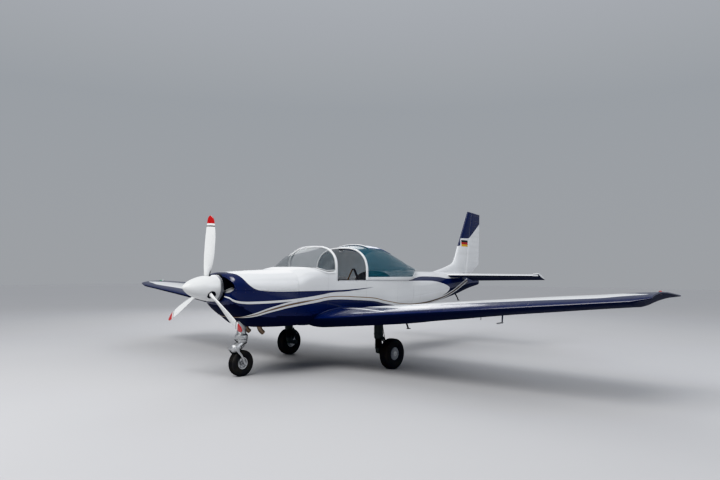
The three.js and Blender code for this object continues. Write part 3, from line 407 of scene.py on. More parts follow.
class Look:
    """A material with one Principled shader, and short ways to build its fields."""

    def __init__(self, name, color, rough=0.4, metal=0.0, **sockets):
        self.mat = bpy.data.materials.new(name)
        self.mat.use_nodes = True
        self.nodes, self.links = self.mat.node_tree.nodes, self.mat.node_tree.links
        self.shader = self.nodes["Principled BSDF"]
        self.coordinates = self.nodes.new("ShaderNodeTexCoord")
        self.put("Base Color", color)
        self.put("Roughness", rough)
        self.put("Metallic", metal)
        for key, value in sockets.items():
            self.put(key.replace("_", " "), value)
        self.mat.diffuse_color = (*(color if isinstance(color, tuple) else (0.5, 0.5, 0.5)), 1)

    def feed(self, socket, value):
        if isinstance(value, Field):
            value = value.socket
        if isinstance(value, (int, float)):
            socket.default_value = value
        elif isinstance(value, tuple):
            socket.default_value = (*value, 1) if len(value) == 3 and len(socket.default_value) == 4 else value
        else:
            self.links.new(value, socket)

    def put(self, name, value):
        self.feed(self.shader.inputs[name], value)

    def math(self, operation, a, b=0.0, c=0.0, clamp=False):
        n = self.nodes.new("ShaderNodeMath")
        n.operation, n.use_clamp = operation, clamp
        for socket, value in zip(n.inputs, (a, b, c)):
            self.feed(socket, value)
        return Field(self, n.outputs[0])

    def xyz(self, output="Object"):
        n = self.nodes.new("ShaderNodeSeparateXYZ")
        self.links.new(self.coordinates.outputs[output], n.inputs[0])
        return [Field(self, s) for s in n.outputs]

    def scaled(self, stretch):
        n = self.nodes.new("ShaderNodeMapping")
        self.links.new(self.coordinates.outputs["Object"], n.inputs["Vector"])
        n.inputs["Scale"].default_value = stretch
        return n.outputs[0]

    def noise(self, scale, detail=3.0, stretch=(1, 1, 1)):
        n = self.nodes.new("ShaderNodeTexNoise")
        self.links.new(self.scaled(stretch), n.inputs["Vector"])
        n.inputs["Scale"].default_value = scale
        n.inputs["Detail"].default_value = detail
        return Field(self, n.outputs["Fac"])

    def cells(self, scale):
        n = self.nodes.new("ShaderNodeTexVoronoi")
        self.links.new(self.coordinates.outputs["Object"], n.inputs["Vector"])
        n.inputs["Scale"].default_value = scale
        return Field(self, n.outputs["Distance"])

    def mix(self, mask, a, b):
        """Colour a where mask is 0 and b where it is 1."""
        n = self.nodes.new("ShaderNodeMix")
        n.data_type = "RGBA"
        self.feed(n.inputs[0], mask)
        self.feed(n.inputs[6], a)
        self.feed(n.inputs[7], b)
        return n.outputs[2]

    def tone(self, color, field, low, high):
        """The colour made darker or lighter by a field that runs from 0 to 1."""
        n = self.nodes.new("ShaderNodeHueSaturation")
        self.feed(n.inputs["Color"], color)
        self.feed(n.inputs["Value"], self.math("MULTIPLY_ADD", field, high - low, low))
        return n.outputs[0]

    def roughness(self, scale, spread, base):
        """Roughness that varies a little over the surface."""
        self.put("Roughness", self.math("MULTIPLY_ADD", self.noise(scale, 3), spread, base))

    def curve(self, field, points):
        """A smooth curve through points (value, result)."""
        xs, ys = [p[0] for p in points], [p[1] for p in points]
        x0, x1, y0, y1 = min(xs), max(xs), min(ys), max(ys)
        if y1 - y0 < 1e-6:
            y1 = y0 + 1
        n = self.nodes.new("ShaderNodeFloatCurve")
        line = n.mapping.curves[0]
        spots = [((x - x0) / (x1 - x0), (y - y0) / (y1 - y0)) for x, y in sorted(points)]
        for i, spot in enumerate(spots):
            if i in (0, 1):
                line.points[i].location = spot
            else:
                line.points.new(*spot)
        for point in line.points:
            point.handle_type = "AUTO_CLAMPED"
        n.mapping.update()
        self.feed(n.inputs["Value"], self.math("MULTIPLY_ADD", field, 1 / (x1 - x0), -x0 / (x1 - x0), clamp=True))
        return self.math("MULTIPLY_ADD", Field(self, n.outputs[0]), y1 - y0, y0)

    def bump(self, field, distance, strength=1.0):
        n = self.nodes.new("ShaderNodeBump")
        n.inputs["Strength"].default_value = strength
        n.inputs["Distance"].default_value = distance
        self.feed(n.inputs["Height"], field)
        before = self.shader.inputs["Normal"].links
        if before:
            self.links.new(before[0].from_socket, n.inputs["Normal"])
        self.links.new(n.outputs[0], self.shader.inputs["Normal"])

    def length(self, a, b):
        return self.math("SQRT", a * a + b * b)

    def dots(self, u, v, du, dv, radius=0.0022):
        """Rows of round heads: du apart along u, in lines dv apart across v."""
        return self.length(u.every(du), v.every(dv)).under(radius, radius * 0.35)


WHITE = (0.70, 0.71, 0.72)
NAVY = (0.0055, 0.0105, 0.056)
GOLD = (0.24, 0.165, 0.085)
# darker navy for faces that look down: painted shade on the undersides
SHADED_NAVY = (0.0035, 0.0055, 0.022)
# soiling colour; on the rudder's beads the same darkening is painted shade
DIRT_AND_SHADE = (0.16, 0.14, 0.12)


def painted(name, color_of, rivets=None, seams=None, streak=(0.6, 0.12, 2.0), gloss=True):
    """Paint on riveted sheet, in one colour or color_of(look), with flush heads, panel joints and light soiling. Heads
    are darkened like the soiling; on the rudder they include its beads, and there the darkening is painted shade.
    """
    coat = dict(Coat_Weight=0.25, Coat_Roughness=0.06) if gloss else dict(Specular_IOR_Level=0.18)
    look = Look(name, WHITE, 0.25, **coat)
    color = color_of(look) if callable(color_of) else color_of
    color = look.tone(color, look.noise(1.7, 4), 0.94, 1.04)
    grime = look.noise(5.0, 6, stretch=streak)
    dirt_and_shade = grime.over(0.60, 0.12) * 0.07
    heads = rivets(look) if rivets else None
    joints = seams(look) if seams else None
    if heads:
        # darker heads: soiling, and on the rudder's beads painted shade
        dirt_and_shade = dirt_and_shade.or_(heads * 0.22)
    if joints:
        dirt_and_shade = dirt_and_shade.or_(joints * 0.75)
    look.put("Base Color", look.mix(dirt_and_shade, color, DIRT_AND_SHADE))
    grain = look.math("MULTIPLY_ADD", look.noise(38.0, 3), 0.14, 0.16 if gloss else 0.52)
    look.put("Roughness", grain + dirt_and_shade * 0.4)
    look.bump(look.noise(420.0, 2), 0.00006, 0.5)
    if heads:
        look.bump(heads, 0.00035, 0.8)
    if joints:
        look.bump(1.0 - joints, 0.0008, 0.9)
    return look.mat


# Livery of the hull: edges as height over distance along the fuselage
TOP_EDGE = [
    (-3.23, 1.430), (-3.16, 1.425), (-3.145, 1.400), (-3.122, 1.368), (-3.106, 1.342), (-3.081, 1.301),
    (-3.043, 1.255), (-2.99, 1.213), (-2.922, 1.181), (-2.851, 1.167), (-2.728, 1.157), (-2.40, 1.150),
    (-1.55, 1.153), (-1.325, 1.156), (-1.10, 1.165), (-0.87, 1.177), (-0.65, 1.190),
]
BAND_FOOT = [
    (-3.23, 1.079), (-3.194, 1.051), (-3.152, 1.037), (-3.098, 1.029), (-3.016, 1.026), (-2.786, 1.028),
    (-2.661, 1.031), (-2.405, 1.041),
    (-2.10, 1.064), (-1.80, 1.095), (-1.547, 1.124), (-1.324, 1.130), (-1.10, 1.146), (-0.87, 1.166),
    (-0.65, 1.190),
]
GOLD_LINE = [
    (-3.030, 0.808), (-2.985, 0.824), (-2.920, 0.844), (-2.856, 0.863), (-2.779, 0.887), (-2.694, 0.908),
    (-2.522, 0.945), (-2.400, 0.968),
    (-1.95, 1.022), (-1.516, 1.062), (-1.323, 1.058), (-1.10, 1.045), (-0.871, 1.032), (-0.652, 1.015),
    (-0.376, 0.968), (-0.146, 0.935), (0.119, 0.903), (0.70, 0.872), (1.239, 0.880), (1.569, 0.909),
    (1.90, 0.955), (2.163, 1.020), (2.35, 1.075), (2.609, 1.165), (2.934, 1.272), (3.64, 1.45),
]
STRIPE_OUT = [
    (-3.03, 0.004), (-2.97, 0.021), (-2.92, 0.0265), (-2.78, 0.0325), (-2.6, 0.037), (-2.4, 0.040),
    (-1.515, 0.045), (-0.65, 0.048), (0.1, 0.044), (1.5, 0.045), (2.6, 0.046), (2.98, 0.040),
]
STRIPE_IN = [
    (-3.03, 0.003), (-2.95, 0.005), (-2.86, 0.0072), (-2.7, 0.010), (-2.55, 0.012), (-2.2, 0.012),
    (-1.9, 0.0065), (0.0, 0.0065), (0.9, 0.010), (1.6, 0.018), (3.0, 0.018),
]
REAR_TOP = [
    (0.40, 1.284), (0.51, 1.297), (0.788, 1.338), (1.114, 1.359), (1.67, 1.350), (2.188, 1.318), (2.45, 1.322),
    (2.75, 1.352), (3.05, 1.375), (3.64, 1.385),
]
PANEL_TOP = [
    (0.40, 1.284), (0.613, 1.283), (1.291, 1.279), (1.691, 1.241), (2.006, 1.177), (2.09, 1.140), (2.125, 1.098)
]
PANEL_FOOT_RISE = [(1.42, 0.034), (1.9, 0.056), (2.055, 0.090), (2.125, 0.155)]
STRIPE_ONE = [
    (-3.23, 0.018), (-3.19, 0.025), (-3.10, 0.029), (-2.95, 0.032), (-2.75, 0.032), (-2.4, 0.029), (-0.65, 0.030)
]
STRIPE_START = -3.03
HUB_Z, SPLIT_Z = 1.2, 1.168
TAIL_PANEL_END = 2.122


# the navy comes in as an argument: NAVY, or the darker navy that is painted shade on faces that look down
def hull_colors(look, navy_paint=NAVY):
    x, y, z = look.xyz()
    top, foot = look.curve(y, TOP_EDGE), look.curve(y, BAND_FOOT)
    inboard = look.math("SUBTRACT", 0.30, abs(x), clamp=True)
    foot = foot + inboard * 0.15
    rise = z - look.curve(y, GOLD_LINE)
    out, inner = look.curve(y, STRIPE_OUT), look.curve(y, STRIPE_IN)
    rear_top, panel_top = look.curve(y, REAR_TOP), look.curve(y, PANEL_TOP)
    panel_foot = look.curve(y, PANEL_FOOT_RISE)
    soft = 0.001
    belly = (rise + out).under(0.0, soft)
    one = look.curve(y, STRIPE_ONE)
    belly = belly.or_(y.under(STRIPE_START) * z.under(foot - one, soft))
    band = z.between(foot, top, soft) * y.under(-0.65)
    wedge = (rise - out).over(0.0, soft) * z.under(foot - one, soft) * y.under(-2.0)
    rear = z.between(panel_top, rear_top, soft) * y.between(0.40, TAIL_PANEL_END)
    cone = (rise - out).over(0.0, soft) * z.under(rear_top, soft) * y.over(TAIL_PANEL_END)
    foot_wedge = (rise - out).over(0.0, soft) * (rise - panel_foot).under(0.0, soft) * y.over(1.42)
    gap = abs(rise).under(inner, soft) * y.over(0.3, 0.02).or_(y.under(-1.95, 0.05))
    navy = belly.or_(band).or_(wedge).or_(rear).or_(cone).or_(foot_wedge).or_(gap)
    color = look.mix(navy, WHITE, navy_paint)
    gold = abs(rise).under(0.0062, soft) * y.between(STRIPE_START, 2.98)
    color = look.mix(gold, color, GOLD)
    # near-black disc round the hub on the cowl's front face: painted shadow behind the spinner
    spinner_shadow = look.length(x, z - HUB_Z).under(0.188, 0.002) * y.under(-3.20)
    color = look.mix(spinner_shadow, color, (0.012, 0.012, 0.013))
    past_end = y.over(2.98) * abs(rise).under(0.05, soft)
    return look.mix(past_end, color, navy_paint)


# the hull livery with its navy darkened, for faces that look down: painted shade
def hull_colors_shaded_below(look):
    return hull_colors(look, SHADED_NAVY)


def around(look):
    """Distance round the hull, near enough for rows of rivets."""
    x, _, z = look.xyz()
    return look.math("ARCTAN2", z - 1.12, x) * 0.5


def hull_rivets(look):
    y, girth = look.xyz()[1], around(look)
    frames = look.dots(girth, y + 0.02, 0.030, 0.42)
    stringers = look.dots(y, girth, 0.030, 0.262)
    return frames.or_(stringers)


def cowl_seams(look):
    x, y, z = look.xyz()
    across, along = abs(abs(x) - 0.16) - 0.10, abs(y + 2.62) - 0.12
    return abs(across.or_(along)).under(0.0011, 0.0005) * z.over(1.30)


def cowl_screws(look):
    _, y, z = look.xyz()
    alone, head = 9.0, 0.0058
    above, below = (look.dots(y, z - SPLIT_Z + away, 0.11, alone, head) for away in (0.018, -0.018))
    return above.or_(below).or_(look.dots(around(look), y + 2.272, 0.085, alone, head))


def hull_seams(look):
    return look.xyz()[1].every(0.84).under(0.0007, 0.0005)


# ---------------------------------------------------------------- other materials
def metal(name, color, rough=0.32, grain=(1, 1, 1), scale=60.0, wear=0.25, bump=0.00012, metallic=1.0):
    look = Look(name, color, rough, metallic)
    spots, streaks = look.noise(scale * 0.12, 5), look.noise(scale, 4, stretch=grain)
    look.put("Base Color", look.tone(color, spots, 1 - wear, 1 + wear * 0.4))
    look.put("Roughness", look.math("MULTIPLY_ADD", streaks, 0.28, rough - 0.12, clamp=True))
    look.bump(streaks, bump, 0.6)
    return look.mat


def plastic(name, color, rough=0.55, scale=700.0, bump=0.00018):
    look = Look(name, color, rough)
    look.put("Base Color", look.tone(color, look.noise(6.0, 4), 0.86, 1.12))
    look.roughness(30.0, 0.2, rough - 0.1)
    look.bump(look.cells(scale), bump, 0.6)
    return look.mat


def rubber(name):
    color = (0.018, 0.018, 0.019)
    look = Look(name, color, 0.8)
    dust = look.noise(9.0, 6)
    look.put("Base Color", look.mix(dust.over(0.58, 0.2) * 0.22, color, (0.13, 0.115, 0.09)))
    look.roughness(60.0, 0.2, 0.68)
    look.bump(look.noise(500.0, 2), 0.00025, 0.6)
    return look.mat


def cloth(name, color, second, pitch=0.0016):
    """A plain weave: warp and weft as crossing ridges."""
    look = Look(name, color, 0.9, Sheen_Weight=0.25, Sheen_Roughness=0.5)
    x, y, z = look.xyz()
    u, v = x.every(pitch * 2), (y + z).every(pitch * 2)
    weave = (u * (1 / pitch) + v * (1 / pitch)) * 0.5
    look.put("Base Color", look.mix(weave * 0.5 + look.noise(14.0, 5) * 0.35, color, second))
    look.bump(weave, 0.0005, 0.7)
    look.bump(look.noise(60.0, 3), 0.0012, 0.35)
    return look.mat


PAINT_COWL = painted("paint_cowl", hull_colors, cowl_screws, cowl_seams)
PAINT_HULL = painted("paint_hull", hull_colors, hull_rivets, hull_seams)
# hull paint for faces that look down: dull finish, navy darkened as painted shade, white unchanged
SHADED_UNDER_HULL = painted("paint_hull_shaded_below", hull_colors_shaded_below, hull_rivets, hull_seams, gloss=False)
PAINT_WHITE = painted("paint_white", WHITE)
PAINT_NAVY = painted("paint_navy", NAVY)
STEEL = metal("steel_brushed", (0.52, 0.53, 0.55), 0.3, (1, 1, 12))
CHROME = metal("steel_polished", (0.72, 0.73, 0.75), 0.14, (1, 1, 30), bump=0.00003, wear=0.08)
CAST = metal("aluminium_cast", (0.60, 0.61, 0.62), 0.45, scale=220.0, bump=0.0005, wear=0.18)
ALUMINIUM = metal("aluminium_sheet", (0.66, 0.67, 0.69), 0.34, (1, 14, 1), scale=90.0)
RING_METAL = metal("aluminium_dark", (0.36, 0.37, 0.39), 0.36, (1, 14, 1), scale=90.0)
BAFFLE = metal("baffle_sheet", (0.55, 0.56, 0.56), 0.5, scale=80.0, metallic=0.4)
LEG_GREY = metal("leg_enamel", (0.050, 0.054, 0.052), 0.42, metallic=0.0, wear=0.35)
ENGINE_BLACK = metal("engine_enamel", (0.02, 0.02, 0.022), 0.55, metallic=0.0, wear=0.4)
HOT_STEEL = metal("exhaust_steel", (0.34, 0.27, 0.22), 0.42, scale=40.0, wear=0.5, bump=0.0003)
BLACK = plastic("plastic_black", (0.018, 0.018, 0.02), 0.5)
PANEL_BLACK = plastic("panel_crackle", (0.022, 0.022, 0.024), 0.62, 1300.0, 0.0004)
GREY_TRIM = plastic("trim_grey", (0.30, 0.31, 0.33), 0.6)
TRIM_RUBBER = rubber("rubber_trim")
TYRE_RUBBER = rubber("rubber_tyre")
SEAT_CLOTH = cloth("seat_cloth", (0.035, 0.045, 0.085), (0.075, 0.09, 0.14))
SIDE_CLOTH = cloth("lining_cloth", (0.20, 0.21, 0.23), (0.30, 0.31, 0.33), 0.002)
SHIELD_CLOTH = cloth("glareshield", (0.012, 0.012, 0.013), (0.03, 0.03, 0.032), 0.0014)
CARPET = cloth("carpet", (0.03, 0.032, 0.04), (0.07, 0.07, 0.08), 0.003)
WEBBING = cloth("belt_webbing", (0.012, 0.012, 0.014), (0.035, 0.035, 0.04), 0.001)


def matt(name, color):
    """Paint of the undersides: dull, so that it stays dark over a pale floor; its darker navy is painted shade."""
    look = Look(name, color, 0.62, Specular_IOR_Level=0.18)
    look.put("Base Color", look.tone(color, look.noise(2.0, 4), 0.85, 1.1))
    look.roughness(30.0, 0.16, 0.54)
    look.bump(look.noise(260.0, 2), 0.0001, 0.5)
    return look.mat


def lens(name, color):
    """A coloured lamp glass with its ribs."""
    look = Look(name, color, 0.1, Coat_Weight=0.8, Coat_Roughness=0.03)
    ribs = look.xyz()[1].every(0.006) * 300.0
    look.put("Base Color", look.tone(color, look.noise(20.0, 3), 0.85, 1.15))
    look.roughness(60.0, 0.08, 0.06)
    look.bump(ribs, 0.0004, 0.5)
    return look.mat


# dull underside paint in the darker navy: painted shade
SHADED_UNDER_NAVY = matt("paint_underside_shaded", SHADED_NAVY)
LENS_RED = lens("lens_red", (0.45, 0.01, 0.01))
LENS_GREEN = lens("lens_green", (0.01, 0.30, 0.10))
LENS_CLEAR = lens("lens_clear", (0.62, 0.64, 0.66))


def dull_shaded_below(obj, limit, paint=SHADED_UNDER_NAVY):
    """Gives the faces that look down the dull paint, with darker navy: painted shade."""
    slot_number = len(obj.data.materials)
    obj.data.materials.append(paint)
    for p in obj.data.polygons:
        if p.normal.z < limit and p.material_index == 0:
            p.material_index = slot_number
    return obj


def glass(name, color, alpha):
    rough = 0.02
    look = Look(name, color, rough, Coat_Weight=0.15, Coat_Roughness=0.03)
    smear = look.noise(7.0, 5, stretch=(1, 1, 0.4))
    look.put("Roughness", look.math("MULTIPLY_ADD", smear.over(0.55, 0.2), 0.10, rough))
    look.put("Alpha", look.math("MULTIPLY_ADD", smear.over(0.6, 0.15), 0.05, alpha))
    return look.mat


CLEAR = glass("acrylic_clear", (0.06, 0.09, 0.105), 0.15)
TINTED = glass("acrylic_tinted", (0.02, 0.115, 0.165), 0.40)


# ---------------------------------------------------------------- hull
# y, half width, top, waist, bottom, squareness of the top, squareness of the bottom
HULL = smooth_table([
    (-3.230, 0.330, 1.398, 1.190, 0.975, 2.8, 3.0), (-3.110, 0.395, 1.414, 1.185, 0.870, 2.9, 3.2),
    (-2.960, 0.436, 1.424, 1.180, 0.765, 3.0, 3.2), (-2.830, 0.460, 1.430, 1.170, 0.680, 3.1, 3.1),
    (-2.600, 0.492, 1.440, 1.150, 0.652, 3.2, 3.0), (-2.250, 0.524, 1.458, 1.120, 0.640, 3.4, 3.0),
    (-2.100, 0.530, 1.488, 1.100, 0.640, 4.6, 3.0), (-1.800, 0.536, 1.494, 1.080, 0.642, 7.0, 3.0),
    (-1.500, 0.542, 1.496, 1.080, 0.645, 8.0, 3.0), (-0.700, 0.562, 1.496, 1.080, 0.660, 6.0, 3.0),
    (0.000, 0.540, 1.480, 1.090, 0.690, 4.0, 2.9), (0.560, 0.470, 1.452, 1.110, 0.730, 2.6, 2.8),
    (1.200, 0.380, 1.450, 1.130, 0.795, 2.3, 2.6), (1.900, 0.280, 1.450, 1.170, 0.876, 2.2, 2.5),
    (2.600, 0.185, 1.447, 1.220, 0.985, 2.2, 2.4), (3.190, 0.105, 1.424, 1.260, 1.108, 2.2, 2.3),
    (3.640, 0.040, 1.300, 1.235, 1.180, 2.0, 2.0),
])
COWL_FRONT, FIREWALL_Y, CABIN_END, CONE_END = -3.23, -2.25, 0.56, 3.64
SKIN = 0.022
RING = 96


def hull_ring(y, inset=0.0, at_y=None):
    """The hull's section at y, drawn in by inset, placed at at_y."""
    half, top, waist, low, square_top, square_low = HULL(y)
    out = []
    for i in range(RING):
        a = (i + 0.5) / RING * 2 * math.pi
        c, s = math.cos(a), math.sin(a)
        n, reach = (square_top, top - waist) if s > 0 else (square_low, waist - low)
        x, z = (half - inset) * power(c, n), waist + (reach - inset) * power(s, n)
        out.append(Vector((x, y if at_y is None else at_y, z)))
    return out


def spaced(y0, y1, step=0.06):
    return np.linspace(y0, y1, max(2, int(round((y1 - y0) / step)) + 1))


def hull_shell(name, y0, y1, wall, mat, inner_mat=None):
    """A length of the hull as a closed wall."""
    rows = [hull_ring(y) for y in spaced(y0, y1)]
    back = [hull_ring(y, wall) for y in spaced(y0, y1)][::-1]
    obj = new_object(name, *grid(rows + back, loop=True), mat)
    if inner_mat:
        obj.data.materials.append(inner_mat)
        half = len(rows) * RING
        obj.data.polygons.foreach_set(
            "material_index", [1 if min(p.vertices) >= half - RING else 0 for p in obj.data.polygons]
        )
    return recalc(obj)


def hull_solid(name, y0, y1, grow=0.001):
    return solid(name, [hull_ring(y, -grow) for y in spaced(y0, y1, 0.12)])


INSIDE_WHITE = plastic("lining_white", (0.62, 0.63, 0.64), 0.55, 300.0, 0.00015)
ZINC = metal("primer_inside", (0.42, 0.44, 0.40), 0.6, metallic=0.0, wear=0.3)
SEAM = 0.0012
NOSE_R = 0.052


def hull_x(y, z):
    """Half width of the hull at that height."""
    half, top, waist, low, square_top, square_low = HULL(y)
    n, reach = (square_top, top - waist) if z > waist else (square_low, waist - low)
    return half * max(0.0, 1 - min(1.0, abs(z - waist) / reach) ** n) ** (1 / n)


def deck_height(x, y):
    half, top, waist, low, square_top, square_low = HULL(y)
    return waist + (top - waist) * max(0.0, 1 - min(1.0, abs(x) / half) ** square_top) ** (1 / square_top)


def on_side(y, z, side):
    """A point on the hull's side, and the way out of it."""
    e = 0.004
    dy = (hull_x(y + e, z) - hull_x(y - e, z)) / (2 * e)
    dz = (hull_x(y, z + e) - hull_x(y, z - e)) / (2 * e)
    out = Vector((1, -dy, -dz)).normalized()
    return Vector((side * hull_x(y, z), y, z)), Vector((side * out.x, out.y, out.z))


def on_top(x, y):
    """A point on the hull's top, and the way out of it."""
    e = 0.004
    dx = (deck_height(x + e, y) - deck_height(x - e, y)) / (2 * e)
    dy = (deck_height(x, y + e) - deck_height(x, y - e)) / (2 * e)
    out = Vector((-dx, -dy, 1)).normalized()
    return Vector((x, y, deck_height(x, y))), out


# The air inlet beside the spinner, as seen from the front: x, z
INLET = [
    (0.106, 1.156), (0.160, 1.133), (0.250, 1.137), (0.318, 1.160), (0.343, 1.203), (0.331, 1.255),
    (0.280, 1.300), (0.200, 1.334), (0.130, 1.350), (0.095, 1.322), (0.088, 1.235),
]
INLET_MIDDLE = Vector((0.222, 0, 1.222))


def inlet_line(side, scale=1.0):
    steps = 6
    points = [Vector((x, 0, z)) for x, z in INLET]
    loop = smooth_path([points[-1], *points, points[0], points[1]], steps)[steps:-2 * steps]
    out = [INLET_MIDDLE + (p - INLET_MIDDLE) * scale for p in loop]
    return [Vector((side * p.x, 0, p.z)) for p in out]


def cowl_blank():
    """The cowling: rounded front bowl, wall turned in at the front, open at the back."""
    rows, inner = [], []
    for k in range(1, 9):
        a = HALF_PI * k / 8
        rows.append(hull_ring(COWL_FRONT + NOSE_R * (1 - math.cos(a)), NOSE_R * (1 - math.sin(a)) * 0.8))
    face = hull_ring(COWL_FRONT, NOSE_R * 0.8)
    centre = Vector((0, COWL_FRONT, HUB_Z))
    front = []
    for share in (0.0, 0.5, 0.85, 0.97):
        front.append([p.lerp(centre + (p - centre).normalized() * 0.092, 1 - share) for p in face])
    outer = front + [face] + rows + [hull_ring(y) for y in spaced(COWL_FRONT + NOSE_R + 0.03, FIREWALL_Y - SEAM, 0.04)]
    wall = 0.014
    for y in spaced(COWL_FRONT + 0.03, FIREWALL_Y - SEAM, 0.05)[::-1]:
        inner.append(hull_ring(y, wall if y > COWL_FRONT + 0.1 else wall + 0.012))
    deep = COWL_FRONT + 0.022
    inner += [[Vector((p.x, deep, p.z)) for p in ring] for ring in (front[2], front[0])]
    obj = new_object("cowl", *grid(outer + inner, loop=True), PAINT_COWL)
    obj.data.materials.append(ZINC)
    edge = len(outer) * RING
    obj.data.polygons.foreach_set(
        "material_index", [1 if min(p.vertices) >= edge - RING else 0 for p in obj.data.polygons]
    )
    return recalc(obj)


def ellipse_bar(name, rx, rz, y0, y1):
    return solid(name, [[Vector((rx * math.cos(a), y, rz * math.sin(a))) for a in turns(48)] for y in (y0, y1)])


def inlet_cutter(side):
    return solid("c", [[Vector((p.x, y, p.z)) for p in inlet_line(side)] for y in (-3.4, -3.09)])


def cowl(name, low, high, node, extra=()):
    obj = cowl_blank()
    cut(obj, [inlet_cutter(1), inlet_cutter(-1)])
    cut(obj, [box("c", -1, 1, -3.4, -2, low, high)], "INTERSECT")
    if extra:
        cut(obj, list(extra))
    obj.name = name
    # faces that look down take the darker navy: painted shade
    dull_shaded_below(obj, -0.5, SHADED_UNDER_HULL)
    return place(obj, "airframe", node)


def surface_rays(obj):
    """Looks along +Y onto a mesh: gives the first point hit from the front."""
    tree = surface_of(obj)

    def first(x, z):
        hit = tree.ray_cast(Vector((x, -3.6, z)), Vector((0, 1, 0)))
        return hit[0].y if hit[0] else -3.10

    return first


EXHAUST_X, EXHAUST_Y = 0.15, -2.640
pipe_holes = []
for s in (1, -1):
    hole = ellipse_bar("c", 0.047, 0.056, -0.15, 0.15)
    pipe_holes.append(moved(
        hole, Matrix.Translation((s * EXHAUST_X, EXHAUST_Y, 0.66)) @ Matrix.Rotation(HALF_PI, 4, "X")
    ))
blank = cowl_blank()
front_at = surface_rays(blank)
bpy.data.meshes.remove(blank.data)
cowl("upper_cowling", SPLIT_Z + SEAM, 2.0, "cowl_upper")
cowl(
    "lower_cowling", 0.0, SPLIT_Z - SEAM, "cowl_lower",
    [bevelled(box("c", -0.105, 0.105, -2.96, -2.69, 0.5, 0.86), 0.05, 5), *pipe_holes],
)

# Inlet lips, ducts and the light metal ramp inside
for label, side in SIDES:
    loop = inlet_line(side)
    at = [Vector((p.x, min(front_at(p.x, p.z), -3.115), p.z)) for p in loop]
    middle = Vector((side * INLET_MIDDLE.x, 0, INLET_MIDDLE.z))
    outs = [Vector((p.x - middle.x, 0, p.z - middle.z)).normalized() for p in loop]
    lip_outline = [(0.0065 * math.cos(a), 0.0065 * math.sin(a)) for a in turns(12)]
    lip = sweep("l", at, outs, [Vector((0, -1, 0))] * len(at), lip_outline, PAINT_COWL, closed=True)
    rows = []
    for depth, scale in ((0.0, 0.985), (0.25, 0.96), (0.6, 0.90), (1.0, 0.84)):
        ring = inlet_line(side, scale)
        rows.append([Vector((r.x, a.y + (-3.02 - a.y) * depth, r.z)) for r, a in zip(ring, at)])
    back = [[p + (middle - Vector((p.x, 0, p.z))).normalized() * 0.003 for p in row] for row in rows[::-1]]
    duct = solid("d", rows + back, BLACK, loop=True)
    order = sorted((i for i, p in enumerate(loop) if p.z < 1.205), key=lambda i: loop[i].x)
    ramp = []
    for depth, lift in ((0.02, 0.006), (0.25, 0.020), (0.5, 0.044), (0.75, 0.064), (0.95, 0.074)):
        row = []
        for i in order:
            a, p = at[i], loop[i]
            inward = (middle - Vector((p.x, 0, p.z))) * (0.04 + 0.16 * depth)
            row.append(Vector((p.x + inward.x, a.y + (-3.06 - a.y) * depth, p.z + inward.z * 0.6 + lift * 0.7)))
        ramp.append(row)
    ramp = thick_sheet("r", ramp, 0.003, BAFFLE)
    place(joined(f"inlet_{label}", [lip, duct, ramp]), "airframe")

# Cowling fasteners
spots = []
for side in (1, -1):
    spots += [
        on_side(float(y), z, side) for y in np.arange(-3.12, -2.28, 0.095) for z in (SPLIT_Z + 0.020, SPLIT_Z - 0.020)
    ]
    spots += [on_side(FIREWALL_Y - 0.020, float(z), side) for z in np.arange(0.74, 1.40, 0.085)]
spots += [on_top(float(x), FIREWALL_Y - 0.020) for x in np.arange(-0.36, 0.37, 0.09)]
heads = [stud(at, out, 0.0065, 0.0014, PAINT_COWL) for at, out in spots]
place(joined("cowl_fasteners", heads), "airframe")

# Engine, as far as the inlets and the wheel bay show it
parts = [
    bevelled(box("b", -0.125, 0.125, -2.955, -2.445, 0.985, 1.300, ENGINE_BLACK), 0.02, 3),
    bevelled(box("b", -0.105, 0.105, -2.90, -2.50, 0.952, 1.02, ENGINE_BLACK), 0.015, 3),
    lathe("b", [(0, 0), (0, 0.044), (0.30, 0.044), (0.30, 0)], (0, -3.24, 1.194), (0, 1, -0.03), STEEL, 40),
    lathe("b", [(0, 0), (0, 0.11), (0.012, 0.115), (0.02, 0.11), (0.02, 0)], (0, -3.00, 1.186), (0, 1, 0), CAST, 56),
]
for side in (1, -1):
    for y in (-2.83, -2.58):
        fins = [(0.0, 0.0), (0.0, 0.060)]
        for k in range(15):
            a = 0.012 + k * 0.0145
            fins += [(a, 0.060), (a, 0.078), (a + 0.004, 0.078), (a + 0.004, 0.060)]
        fins += [(0.235, 0.060), (0.235, 0.0)]
        parts.append(lathe("f", fins, (side * 0.12, y, 1.165), (side, 0, 0), ENGINE_BLACK, 40))
        x0, x1 = sorted((side * 0.345, side * 0.383))
        parts.append(bevelled(box("h", x0, x1, y - 0.062, y + 0.062, 1.10, 1.235, CAST), 0.012, 3))
    for k in range(12):
        z = 1.145 + k * 0.0135
        x0, x1 = sorted((side * 0.105, side * 0.325))
        parts.append(box("g", x0, x1, -3.005, -2.90, z, z + 0.003, ENGINE_BLACK))
place(joined("engine", parts), "airframe", "engine_block")

# Cabin: the shell with its open top, the narrow deck behind the seats and its side shelves
OPEN_FRONT, SILL_Z = -1.5104, 1.290


def deck_shape(name, y0, y1, inset, z_low):
    rows = [hull_ring(CABIN_END, inset, y) for y in (y0, y1)]
    obj = solid(name, rows, PAINT_HULL)
    return cut(obj, [box("c", -1, 1, y0 - 1, y1 + 1, z_low, 2)], "INTERSECT")


def deck_hollow(inset):
    return solid("c", [hull_ring(CABIN_END, inset, y) for y in (-0.1, 0.7)])


